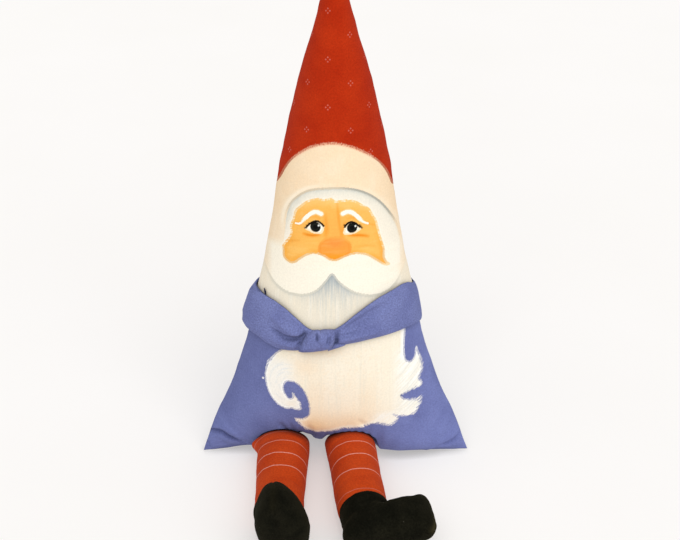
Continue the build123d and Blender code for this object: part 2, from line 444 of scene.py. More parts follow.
def hat_ground(m, v, weave):
    """Red-orange cotton printed with small four-dot diamonds in half-drop rows."""
    split = m.split(v)
    across, along = split[0], split[1]
    row = m.math("DIVIDE", m.minus(along, 369.5), 23.0)
    row_index = m.math("FLOOR", row)
    row_part = m.times(m.minus(m.minus(row, row_index), 0.5), 23.0)
    odd = m.times(m.math("PINGPONG", row_index, 1.0), 23.0)
    col = m.math("DIVIDE", m.plus(m.plus(across, 30.0), odd), 46.0)
    col_part = m.minus(m.minus(col, m.math("FLOOR", col)), 0.5)
    col_part = m.times(col_part, 46.0)
    ax, ay = m.math("ABSOLUTE", col_part), m.math("ABSOLUTE", row_part)
    far_x = m.minus(ax, 2.1)
    far_y = m.minus(ay, 2.1)
    d1 = m.plus(m.times(far_x, far_x), m.times(ay, ay))
    d2 = m.plus(m.times(far_y, far_y), m.times(ax, ax))
    dots = m.range(m.math("SQRT", m.math("MINIMUM", d1, d2)), 0.55, 1.0, 1.0, 0.0)
    cloud = m.noise(v, 0.035, 4.0)
    base = m.mix(m.range(cloud, 0.35, 0.65), rgba(HAT_DARK), rgba(HAT_LIGHT))
    base = m.mix(m.times(dots, 0.5), base, rgba((216, 130, 118)))
    return m.tint(base, thready(m, v, weave))


def coat_ground(m, v, weave):
    cloud = m.noise(v, 0.03, 5.0)
    base = m.mix(m.range(cloud, 0.35, 0.65), rgba(COAT_DARK), rgba(COAT_LIGHT))
    split = m.split(v)
    # Painted light: the coat cloth is made lighter towards the doll's left, standing in for the key light
    # falling more strongly on that side.
    painted_side_light = m.range(split[0], -80.0, 120.0, 0.98, 1.14)
    return m.tint(base, m.times(painted_side_light, thready(m, v, weave)))


hat_cloth = painted_cloth("hat_print", hat_ground)
face_cloth = painted_cloth("face_paint", hat_ground)
coat_cloth = painted_cloth("coat_paint", coat_ground)
back_cloth = cotton("coat_cotton", COAT_DARK, COAT_LIGHT)

# ---------------------------------------------------------------- the body
HALF = [(-6, 147), (15, 140), (39, 129.5), (63, 117.5), (87, 108), (110, 100.5), (122, 96), (145, 90),
        (168, 86), (190, 81.5), (212, 75.3), (234, 71.2), (256, 66.9), (278, 63), (299, 60.3), (320, 56.9),
        (341, 52.4), (362, 47.8), (382, 42.8), (403, 37.8), (423, 32.6), (443, 25.6), (462, 20), (482, 14.8),
        (505, 9), (530, 1.5)]
# row along the skin from the bottom seam, place up the body, depth
FRONT = [(0, -1.5, 2), (10, 0, 14), (20, 3.5, 26), (30, 9, 37), (40, 18, 45.5), (50, 31, 51), (60, 45, 54),
         (70, 60, 56), (110, 100, 57), (160, 150, 53), (210, 200, 50), (260, 250, 46), (310, 300, 42),
         (360, 350, 38), (410, 400, 32.5), (450, 440, 24.5), (490, 480, 15), (520, 510, 8), (540, 530, 1.2)]
BACK = [(0, 0.5, 1), (10, 3.4, 13.7), (20, 6.1, 26.3), (30, 8.7, 37), (40, 13.5, 44.2), (50, 24, 48),
        (60, 41, 50.5), (70, 60, 52), (110, 100, 55), (160, 150, 52), (210, 200, 49), (260, 250, 45),
        (310, 300, 42), (360, 350, 38), (410, 400, 32.5), (450, 440, 24.5), (490, 480, 15), (520, 510, 8),
        (540, 530, 1.2)]


def half_width(along):
    return soft_table(HALF, along, 7.0)


def roundness(along):
    return 2 * np.interp(along, [0, 300, 500], [0.72, 0.68, 0.52])


def depth_at(table, along):
    t = np.array(table, float)
    grid = np.arange(0, 540.5, 1.0)
    up = soft_table(t[:, [0, 1]], grid, 4.0)
    deep = soft_table(t[:, [0, 2]], grid, 4.0)
    return np.interp(along, up, deep)


def skin_back(x, along, out=0.0):
    """How far in front of the mid-plane the front cloth is, negative forward."""
    a = half_width(along) + out
    f = np.clip(np.abs(x - CENTRE_X) / a, 0, 1)
    return -(depth_at(FRONT, along) + out) * (1 - f * f) ** (roundness(along) / 2)


LEGS = {
    # side: hip x, yaw in degrees, body, boot body
    "left": (13.0, 7.2, "left_leg", "left_boot"),
    "right": (-53.5, -0.4, "right_leg", "right_boot"),
}
# distance from the seam, half width, height of the top
LEG_SHAPE = {
    "left": [(2, 20, 4), (10, 23, 17), (20, 26, 34), (30, 26.8, 43.5), (40, 26.8, 47), (50, 26.4, 48.5),
             (60, 26, 49.4), (80, 25.6, 50.2), (110, 25.8, 50.4), (146, 25.6, 50.2)],
    "right": [(2, 20, 4), (10, 24, 16), (20, 26.5, 33), (30, 28, 42), (40, 28, 45.5), (50, 27.5, 47),
              (60, 27, 47.8), (80, 26.6, 49.3), (110, 25.2, 49.8), (146, 24.4, 49.8)],
}


def hip_and_yaw(side):
    """Place across the body where a leg starts, and its turn to the doll's left in radians."""
    hip, turn = LEGS[side][:2]
    return hip, math.radians(turn)


def leg_size(side, d):
    """Half width and height of a leg at a distance from the seam."""
    table = np.array(LEG_SHAPE[side], float)
    return soft_table(table[:, [0, 1]], d, 5.0), soft_table(table[:, [0, 2]], d, 5.0)


def leg_top(side, x, y):
    """Height of the leg's top under a point, falling away beside the leg."""
    hip, yaw = hip_and_yaw(side)
    d = (x - hip) * math.sin(yaw) - y * math.cos(yaw)
    q = (x - hip) * math.cos(yaw) + y * math.sin(yaw)
    w, h = leg_size(side, d)
    w = w + 2.5
    share = np.abs(q) / w
    top = h / 2 + (h / 2) * np.sqrt(np.clip(1 - share ** 2, 0, 1)) + 1.2
    top = np.where(share > 1, h / 2 * (1 - (np.abs(q) - w) / 9.0), top)
    return np.where(d > 0, top, 0)


def body_rows():
    return np.concatenate([np.arange(0, 70, 1.1), np.arange(70, 215, 1.0), np.arange(215, 316, 0.6),
                           np.arange(316, 360, 0.8), np.arange(360, 540, 1.2), [540]])


def body_sheet(front, columns):
    rows = body_rows()
    table = np.array(FRONT if front else BACK, float)
    edge_table = [(0, 0.0), (70, 60.0), (540, 530.0)]
    edge = soft_table(edge_table, rows, 2.0)
    middle = soft_table(table[:, [0, 1]], rows, 4.0)
    deep = np.maximum(soft_table(table[:, [0, 2]], rows, 4.0), 0.5)
    theta = np.linspace(-math.pi / 2, math.pi / 2, columns)
    f = np.sin(theta)[None, :]
    c = np.clip(np.cos(theta), 0, 1)[None, :]
    a = half_width(edge)[:, None]
    x = CENTRE_X + a * f
    along = edge[:, None] + (middle - edge)[:, None] * c ** 1.3
    g = c ** roundness(edge)[:, None]
    sign = -1.0 if front else 1.0
    back = sign * deep[:, None] * g

    # distance in from the side seam, measured on the cloth
    inset = a * (math.pi / 2 - np.abs(theta))[None, :] * 0.8
    side = np.sign(f)
    pucker = (grain(along / 7.0 + 40 * side, np.zeros_like(x) + (3 if front else 9), 11, 2) - 0.5)
    back = back + sign * 1.5 * pucker * np.exp(-inset / 7.0) * ramp(inset, 0.0, 3.0)
    x = x - side * 1.2 * (grain(along / 16.0, side * 5.0 + 2, 5, 2) - 0.45) * np.exp(-inset / 6.0)
    # loose filling under the cloth
    slack = grain(x / 46.0, along / 52.0, 21 if front else 22, 2) - 0.5
    back = back + sign * 2.4 * slack * ramp(inset, 4, 40)
    back = back + sign * 0.5 * (grain(x / 15.0, along / 17.0, 31, 2) - 0.5) * ramp(inset, 4, 20)
    # the scarf draws the body in a little
    back = back - sign * 1.6 * bell(along - 150 - 0.25 * np.abs(x), 22.0) * c
    return x, back, along, inset


def dent(x, along, back, line, depth, width, fade=True):
    """Press a crease into the front cloth along a line."""
    d, where = line_distance(x, along, rounded(line, closed=False), reach=4 * width)
    strength = np.sin(np.clip(where, 0.02, 0.98) * math.pi) ** 0.6 if fade else 1.0
    groove = bell(d, width) - 0.35 * bell(d - 2 * width, 1.2 * width)
    return back + depth * groove * strength


def flop(points, along):
    """Bring the lower corners forward, as they lie on the floor."""
    x = points[..., 0]
    left = soft_table([(-150, 15), (-132, 12.5), (-118, 9), (-98, 2), (-80, 0), (-60, 0), (38, 0)], x, 3.0)
    right = soft_table([(-60, 0), (46, 0), (58, 4), (70, 8), (90, 10), (128, 10.5), (150, 11)], x, 3.0)
    between = soft_table([(-90, 0), (-62, 0), (-42, 16), (-24, 21), (-6, 16), (14, 0), (40, 0)], x, 3.0)
    share = ramp(along, 46, 4)
    points[..., 1] -= (np.maximum(left, 0) + np.maximum(right, 0) - np.maximum(between, 0)) * share


x, back, along, inset = body_sheet(True, 365)
# folded corners, and soft folds over the legs
for line, depth, width in (
        ([(-141, 20), (-132, 22), (-122.5, 22.5), (-115.5, 19.5), (-106.5, 15.5), (-98, 11)], 4.4, 2.4),
        ([(-141, 12), (-138, 8), (-137, 2)], 1.6, 2.0),
        ([(-126, 12), (-118, 8), (-108, 4)], 1.2, 3.0),
        ([(141, 22), (134, 15), (127, 12), (114, 8)], 2.6, 2.6),
        ([(137, 30), (127, 24), (117, 15)], 1.5, 4.0),
        ([(-58.5, 44), (-54, 40), (-50, 32)], 2.2, 3.0),
        ([(-48, 47), (-45, 40), (-43, 32)], 1.4, 2.6),
        ([(-27, 46), (-24, 34), (-22, 16)], 2.0, 3.0),
        ([(52, 42), (49, 32), (47, 18)], 1.8, 3.5),
        ([(26, 52), (30, 47), (36, 44)], 1.0, 2.5)):
    back = dent(x, along, back, line, depth, width)
for line, height in (([(-150, 21), (-141, 20), (-132, 22), (-122.5, 22.5), (-115.5, 19.5), (-106.5, 15.5),
                       (-98, 10), (-92, 2)], 3.6),
                     ([(150, 28), (141, 22), (134, 15), (127, 12), (114, 8), (104, 0)], 2.2)):
    fold = rounded(line, closed=False)
    inner_x = np.sign(line[0][0]) * 60
    upper = inside_distance(x, along, np.vstack([fold, [(inner_x, -20), (inner_x, 90), (line[0][0], 90)]]))
    above = line_distance(x, along, fold)[0] * np.sign(upper)
    back = back - (height * ramp(above, -0.3, 2.2) * np.exp(-np.clip(above, 0, None) / 11.0)
                   * ramp(np.abs(x), 84, 106) * ramp(inset, 0, 9))
for k in range(9):
    middle_x = -16 + 7.4 * k
    back = dent(x, along, back, [(middle_x, 12), (middle_x + 1.5, 24), (middle_x + 2.5, 36)], 1.1, 1.9)
front = place(x, back, along)
for side in LEGS:
    want = leg_top(side, front[..., 0], front[..., 1])
    push = want - front[..., 2]
    lift = np.where(push > -2, 0.5 * (push + np.sqrt(push ** 2 + 6.0)) - 0.45, 0)
    lift = np.clip(lift, 0, None) * (front[..., 1] < 6) * ramp(-front[..., 2], -75, -50)
    front[..., 2] += lift
flop(front, along)
front[..., 2] = np.maximum(front[..., 2], 0.5)
front_normals = grid_normals(front, (0, -1, 0.2))
front_x, front_along = x, along

x, back, along, inset = body_sheet(False, 183)
rear = place(x, back, along)
flop(rear, along)
rear[..., 2] = np.maximum(rear[..., 2], 0.4)
rear_normals = grid_normals(rear, (0, 1, 0))
rear_along = along


def cloth_map(points, along):
    """Distance across the cloth from the middle column, and up the body."""
    step = np.linalg.norm(np.diff(points, axis=1), axis=-1)
    run = np.concatenate([np.zeros((len(points), 1)), np.cumsum(step, axis=1)], axis=1)
    run -= run[:, [points.shape[1] // 2]]
    return np.stack([run, along, np.zeros_like(run)], -1)


front_cloth = cloth_map(front, front_along)
rear_cloth = cloth_map(rear, rear_along)
rear_cloth[..., 0] += 300

# ---------------------------------------------------------------- painting
HAT_EDGE = [(-80, 294), (-70, 295), (-61, 297.5), (-56.5, 303), (-52.8, 309.5), (-49.8, 315.5),
            (-43, 325.5), (-32.5, 335),
            (-22, 341.5), (-11, 345), (1, 346), (12.5, 344), (25, 339), (39, 330), (48, 321.5), (54.5, 312),
            (58, 304), (61, 297.5), (68, 294), (80, 293), (140, 293), (140, -60), (-140, -60), (-140, 294)]
BAND = [(-52, 247), (-50.5, 256), (-49.8, 263), (-48, 272), (-43.5, 281.5), (-37, 289), (-28.5, 295.5),
        (-18.5, 299), (-6, 300.5), (5, 301), (15.5, 300), (26.5, 297), (37.5, 291), (47.5, 282.5),
        (55, 273), (62, 262), (67, 251), (70, 238)]
SKIN = [(-40.5, 266.5), (-38.5, 274.5), (-33, 280.5), (-26, 286), (-16.5, 289.3), (-9.5, 288.3), (-3, 290),
        (2, 287.2), (7, 287.8), (14, 288), (22, 286.5), (29, 282), (35.5, 277.5), (40, 269.5), (43, 264.5),
        (45, 256.5), (47, 249), (49.5, 241), (51.5, 233.5), (51.5, 226), (54, 220), (57.5, 216.5),
        (52.5, 217.5), (44, 224), (35, 230.5), (25.5, 233.5), (17.5, 233), (10, 230.5), (3, 227.5),
        (-3.5, 228), (-10.5, 232), (-19, 234), (-26, 232), (-33.5, 227), (-40, 221.8), (-45.5, 221),
        (-51, 225), (-51.5, 231), (-51.5, 237), (-46, 244.5), (-43, 251.5), (-43.5, 258.5)]
NOSE = [(-6.5, 250), (-11, 246.6), (-14.2, 241.5), (-14.7, 236.5), (-12, 231.5), (-4, 227.5), (1.5, 226.5),
        (7.5, 228.5), (14, 232), (17, 237), (16.8, 243), (13.6, 247.5), (8, 250.8)]
MOUSTACHE_LOW = [(-80, 228), (-73.5, 213), (-66, 201), (-58.5, 194), (-49.5, 189.7), (-39, 188.3),
                 (-26.5, 190), (-16.5, 195.5), (-8, 205), (-1.5, 212.5), (4.5, 205.5), (13, 198),
                 (23, 192), (34.5, 188.3), (46, 187.3), (57.5, 190.5), (65.5, 197), (71, 205), (76.5, 217),
                 (80, 228)]
EYES = {
    "a": {"white": [(-28, 258.4), (-25.2, 261.8), (-22, 264.8), (-18, 266.8), (-13.5, 265.2), (-10.4, 262),
                    (-10.8, 258.4), (-12.2, 255.6), (-15.8, 254.8), (-20.5, 255.2), (-25, 257)],
          "lid": [(-27, 260.6), (-23.4, 264), (-19.8, 266.2), (-15.8, 266.6), (-12.6, 264.8), (-10, 262.2)],
          "iris": (-18.3, 260.7), "light": (-15.0, 262.4),
          "lashes": [[(-27.6, 259.2), (-30.2, 258.4)], [(-26, 261.4), (-28.6, 261.2)],
                     [(-24, 263.6), (-26.2, 263.8)]]},
    "b": {"white": [(11, 255), (11.8, 259), (12.8, 262.3), (15, 264.6), (18.5, 265.4), (22.4, 263.6),
                    (25, 261), (27, 258.4), (24, 256.2), (20.2, 254.8), (15, 254.2)],
          "lid": [(11.4, 261.2), (13.2, 263.8), (16, 265.7), (19.5, 265.8), (23.3, 263.6), (26.8, 260)],
          "iris": (18.8, 260.0), "light": (22.3, 261.6),
          "lashes": [[(27, 260.4), (30.4, 258.2)], [(25.6, 262), (28.8, 261.2)], [(11.4, 263), (9.8, 264)]]},
}
BROWS = [[(-38.4, 262), (-33.5, 262.8), (-28.8, 268.6), (-22.5, 274.2), (-17.5, 276.2), (-12.4, 274.4)],
         [(9.4, 275), (13.8, 276.7), (18.8, 275.6), (24.5, 270.8), (29.6, 265.3), (35, 262.5)]]
BEARD = [(-46, 132), (-49, 130), (-53, 127.5), (-60.5, 121.5), (-68.5, 111), (-71.8, 101), (-72, 91.5),
         (-69.5, 81), (-65.5, 73.5), (-60, 67.5), (-54.5, 64.4), (-49, 63.4), (-44.5, 64.2), (-39.5, 63.2),
         (-34.5, 64), (-35, 68.5), (-36.8, 73), (-40, 77.5), (-43.4, 82), (-42.6, 77), (-45, 74.3), (-49, 76),
         (-52, 80.5), (-53.3, 86), (-52, 91), (-48.5, 94.3), (-41.5, 94.3), (-34.5, 90), (-30, 83.5),
         (-26.5, 74.5), (-25.3, 67), (-25.5, 59.5), (-28.5, 55), (-32.5, 52.8), (-41, 52.6), (-37, 47.5),
         (-33.5, 43), (-28, 38.5), (-22.5, 36), (-16.5, 35.5), (-10.5, 36.6), (-3.5, 38), (3.5, 40.5),
         (10.5, 42.6), (19, 43), (28.5, 42.5), (34, 44.5), (40, 46.5), (46, 46.5), (53, 43.8), (61.5, 42.8),
         (68, 49.2), (63, 54), (70, 51.5), (79.5, 50.5), (87.5, 52.5), (91, 59.5), (94, 66), (84.5, 67),
         (75.5, 69.3), (71, 74), (76, 76.5), (85, 78.6), (94, 81.2), (91, 88.5), (94, 94.5), (94.6, 102),
         (91.5, 111), (88.8, 118), (87.7, 121), (86.8, 114.5), (84.6, 109.8), (80.8, 108.6), (77, 110.2),
         (74.8, 115), (74, 125), (74.5, 137.5), (75, 147.5), (77, 175), (-46, 175)]


def spot(x, s, middle_x, middle_s, wide, tall):
    """A soft round patch, 1 at its middle."""
    return np.exp(-(((x - middle_x) / wide) ** 2 + ((s - middle_s) / tall) ** 2))


def turned(x, y, angle, length, width, lane):
    """Place along and across brush marks laid at an angle, for the bristle noise."""
    c, s = math.cos(math.radians(angle)), math.sin(math.radians(angle))
    return np.stack([(x * c + y * s) / length, (y * c - x * s) / width, np.full(len(x), 7.3 * lane)], -1)


def paint_face(x, s, u):
    p = Paint(len(x))
    ones = np.ones(len(x))
    wisps = strokes(u, s, 80, 26, 3.2, 3)
    fine = strokes(u, s, 72, 9, 0.9, 4)
    speck = grain(u / 2.3, s / 2.3, 9, 2)
    cloud = grain(u / 22, s / 20, 8)
    p.lay((247, 222, 188), ones)
    p.lay((248, 219, 180), 0.40 * ramp(speck, 0.45, 0.85) * ramp(s, 246, 300))
    p.lay((248, 229, 200), 0.5 * ramp(cloud, 0.42, 0.68))
    p.lay((248, 234, 211), 0.7 * ramp(s, 288, 225))
    p.lay((246, 236, 217), 0.75 * ramp(s, 226, 190))
    p.lay((243, 214, 176), 0.5 * ramp(np.abs(x - CENTRE_X), half_width(s) - 18, half_width(s) - 2))
    p.lay((251, 236, 212), 0.3 * ramp(wisps, 0.52, 0.8) * ramp(s, 310, 262))

    # the grey roots inside the hair band
    band = rounded(BAND, closed=False)
    d, where = line_distance(x, s, band, reach=26)
    arch = inside_distance(x, s, np.vstack([band, [(70, 120), (-52, 120)]]), reach=26)
    inner = arch > 0
    depth = np.where(inner, d, 0)
    present = ramp(where, 0.0, 0.14) * ramp(where, 1.0, 0.8)
    patch = 0.6 + 0.8 * (grain(u / 8, s / 8, 5) - 0.5) + 0.5 * (fine - 0.5)
    right_half = ramp(where, 0.42, 0.58)
    p.lay((247, 240, 224), 0.9 * inner * ramp(d, 0.0, 1.5) * (s > 215))
    inward = 1 - 0.6 * ramp(where, 0.62, 0.8)
    p.lay((226, 224, 211), inner * np.exp(-depth / 7.5) * present * patch * 1.15 * inward)
    p.lay((200, 204, 197), 0.45 * inner * np.exp(-depth / 3.6) * present * patch * inward)
    p.lay((158, 168, 168), inner * np.exp(-depth / 1.2) * present * (0.42 + 0.22 * right_half) * inward)
    p.lay((122, 136, 140), 0.6 * bell(arch - 0.1, 0.5) * right_half * ramp(where, 0.93, 0.78))
    p.lay((132, 142, 140), 0.3 * bell(arch - 0.1, 0.55) * (1 - right_half) * ramp(where, 0.1, 0.2))
    outside = (arch < 0) * bell(d - 2.2, 2.2)
    p.lay((253, 241, 219), 0.8 * outside * ramp(where, 0.0, 0.1) * ramp(where, 0.5, 0.25))
    p.lay((251, 239, 217), 0.35 * outside * ramp(where, 0.5, 0.65))

    # skin
    ragged = 1.5 * (strokes(u, s, 12, 6, 1.0, 12) - 0.5) * ramp(s, 222, 240) * ramp(s, 284, 262) * (x < 0)
    ragged += 0.9 * (strokes(u, s, 165, 6, 1.2, 15) - 0.5) * ramp(s, 222, 240) * (x > 0)
    ragged += 1.2 * (strokes(u, s, 88, 5, 1.4, 13) - 0.5) * ramp(s, 278, 287)
    skin_in = inside_distance(x, s, rounded(SKIN, steps=5), reach=40) + ragged
    skin = ramp(skin_in, -0.5, 0.5)
    p.lay((254, 246, 230), 0.6 * ramp(skin_in, -3.2, -0.6) * (skin_in < 0) * ramp(s, 300, 280))
    p.lay((251, 187, 92), skin)
    p.lay((251, 199, 118), 0.8 * skin * ramp(grain(u / 16, s / 10, 40), 0.42, 0.7) * ramp(s, 262, 284))
    p.lay((252, 195, 106), 0.65 * skin * ramp(strokes(u, s, 5, 22, 2.6, 41), 0.5, 0.72) * ramp(s, 262, 240))
    p.lay((246, 168, 64), 0.75 * skin * ramp(skin_in, 6, 0) * ramp(s, 262, 232))
    p.lay((250, 176, 82), 0.7 * skin * bell(x - 2, 12) * ramp(s, 290, 260))
    p.lay((252, 205, 128), 0.5 * skin * ramp(skin_in, 9, 2) * ramp(s, 272, 284))
    for side in (-1, 1):
        cheek = spot(x - 2, s, side * 33, 235, 8.5, 5.5)
        p.lay((253, 200, 112), 0.55 * skin * cheek)

    for line, colour, width, strength in (
            ([(3.5, 288), (4.5, 277), (5.5, 268), (6.8, 259), (8.5, 250)], (234, 142, 40), 1.4, 0.5),
            ([(-8, 276), (-7.5, 266), (-6.5, 258), (-8.5, 250)], (240, 150, 46), 2.0, 0.55),
            ([(-12, 268), (-9.5, 262), (-8, 256), (-9.5, 251)], (242, 158, 54), 1.8, 0.5),
            ([(13, 268), (10, 262), (8.6, 256), (9.8, 250)], (238, 150, 48), 1.7, 0.55),
            ([(-32, 253), (-25, 251.8), (-18, 252.2), (-12.5, 253.6)], (238, 136, 30), 1.5, 0.95),
            ([(14, 253), (20, 252.2), (26, 251.8), (32, 250.6), (37, 249)], (238, 136, 30), 1.5, 0.95),
            ([(36, 262.5), (40.5, 260.5), (45, 260)], (242, 156, 56), 1.0, 0.45),
            ([(-50, 240.5), (-42, 243.5), (-34, 245)], (240, 152, 52), 1.3, 0.45),
            ([(20, 240), (32, 240.5), (44, 238)], (243, 160, 60), 1.3, 0.4),
            ([(-23, 270.3), (-17.5, 271.2), (-12.5, 268.8)], (242, 158, 56), 1.5, 0.5),
            ([(13, 268.8), (18, 270.6), (24, 268.2)], (242, 158, 56), 1.5, 0.5)):
        dl, w = line_distance(x, s, rounded(line, closed=False), reach=5 * width)
        taper = np.sin(np.clip(w, 0.0, 1.0) * math.pi) ** 0.5
        p.lay(colour, strength * taper * bell(dl, width) * (skin > 0.5))

    nose_in = inside_distance(x, s, rounded(NOSE, steps=5), reach=30)
    nose = ramp(nose_in, -0.8, 1.0) * skin
    p.lay((252, 158, 64), 0.9 * nose)
    p.lay((252, 150, 70), 0.8 * nose * spot(x, s, 1, 245, 10, 5))
    p.lay((252, 174, 92), 0.5 * nose * ramp(strokes(u, s, 3, 16, 2.2, 44), 0.5, 0.75))
    p.lay((254, 156, 40), 0.9 * nose * ramp(s, 236, 230))
    p.lay((236, 132, 40), 0.4 * bell(nose_in - 0.3, 0.9) * skin * ramp(s, 249, 243))

    # eyes
    for eye in EYES.values():
        white_in = inside_distance(x, s, rounded(eye["white"], steps=6), reach=8)
        p.lay((255, 251, 240), ramp(white_in, -0.5, 0.3))
        r = np.hypot(x - eye["iris"][0], (s - eye["iris"][1]) * 1.02)
        covered = np.clip(ramp(white_in, -0.4, 0.3) + (s > eye["iris"][1]), 0, 1)
        p.lay((14, 14, 12), ramp(r, 5.5, 5.0) * covered)
        p.lay((36, 38, 32), 0.75 * ramp(r, 4.3, 3.3))
        p.lay((12, 12, 12), ramp(r, 2.7, 2.2))
        dl, w = line_distance(x, s, rounded(eye["lid"], closed=False), reach=5)
        p.lay((18, 12, 8), ramp(dl, 0.2 + 0.3 * np.sin(np.clip(w, 0.0, 1.0) * math.pi), 0.0))
        for lash in eye["lashes"]:
            dl, w = line_distance(x, s, np.array(lash, float), reach=4)
            p.lay((40, 26, 14), 0.75 * ramp(dl, 0.45, 0.12) * ramp(w, 1.05, 0.3))
        r = np.hypot(x - eye["light"][0], s - eye["light"][1])
        p.lay((246, 248, 242), ramp(r, 1.3, 0.7))
    for brow in BROWS:
        dl, w = line_distance(x, s, rounded(brow, closed=False), reach=6)
        inner_end = w if brow[0][0] < 0 else 1 - w
        thick = 0.55 + 1.35 * ramp(inner_end, 0.0, 0.75)
        p.lay((238, 158, 56), 0.35 * ramp(dl, thick + 1.6, thick))
        p.lay((255, 250, 236), ramp(dl, thick + 0.4, thick - 0.3))

    # moustache over the skin and beard
    low = rounded(MOUSTACHE_LOW, closed=False)
    hair = inside_distance(x, s, np.vstack([low, [(80, 420), (-80, 420)]]), reach=40)
    below = ramp(-hair, -0.2, 0.2)
    drop = np.clip(-hair, 0, None)
    centre = bell(x + 0.5, 22.0)
    comb = strokes(u, s, 90, 20, 0.8, 60, 3)
    comb_wide = strokes(u, s, 88, 34, 3.5, 61, 2)
    p.lay((241, 232, 212), 0.8 * below)
    p.lay((249, 241, 224), 0.7 * below * ramp(comb_wide, 0.5, 0.75))
    side_fade = ramp(np.abs(x + 0.5), 82, 48)
    fade = np.exp(-drop / (6 + 18 * comb_wide * (0.4 + centre)))
    p.lay((206, 209, 202), below * (0.25 + 0.55 * centre) * fade * ramp(comb, 0.25, 0.7) * side_fade)
    p.lay((158, 170, 178), below * 0.75 * centre * np.exp(-drop / (2.5 + 11 * comb)) * side_fade)
    p.lay((168, 174, 170), below * 0.3 * np.exp(-drop / 1.6) * side_fade * ramp(np.abs(x + 0.5), 74, 60))
    p.lay((148, 152, 142), 0.6 * bell(hair + 0.35, 0.5) * ramp(np.abs(x + 0.5), 76, 60))
    p.lay((120, 134, 146), below * 0.5 * bell(x + 0.5, 7.0) * np.exp(-drop / 4) * comb)
    top = ramp(hair, -0.2, 0.3) * (1 - skin) * ramp(s, 244, 232)
    body_of_it = top * np.clip(ramp(np.abs(x - 1), 74, 60) + 0.25, 0, 1)
    p.lay((252, 245, 228), 0.95 * body_of_it)
    p.lay((250, 240, 218), 0.35 * body_of_it * ramp(strokes(u, s, 8, 30, 4, 62), 0.5, 0.8))
    p.lay((206, 150, 78), 0.35 * bell(skin_in + 0.15, 0.5) * ramp(s, 238, 233) * ramp(s, 216, 222))

    # coverage: brushed edge over the hat cloth, drier near the top
    edge = inside_distance(x, s, rounded(HAT_EDGE, steps=5), reach=30)
    dry = ramp(s, 322, 338)
    p.cover = np.clip(edge, -5, 5)
    p.feather = 0.15 + 0.9 * dry
    p.brush = turned(u, s, 75, 2.6, 0.9, 0)
    p.lay((226, 150, 116), 0.5 * dry * ramp(edge, 2.4, 0.2))
    p.lay((124, 44, 16), 0.4 * (1 - ramp(s, 322, 332)) * ramp(edge, 0.9, 0.1))
    return p, edge


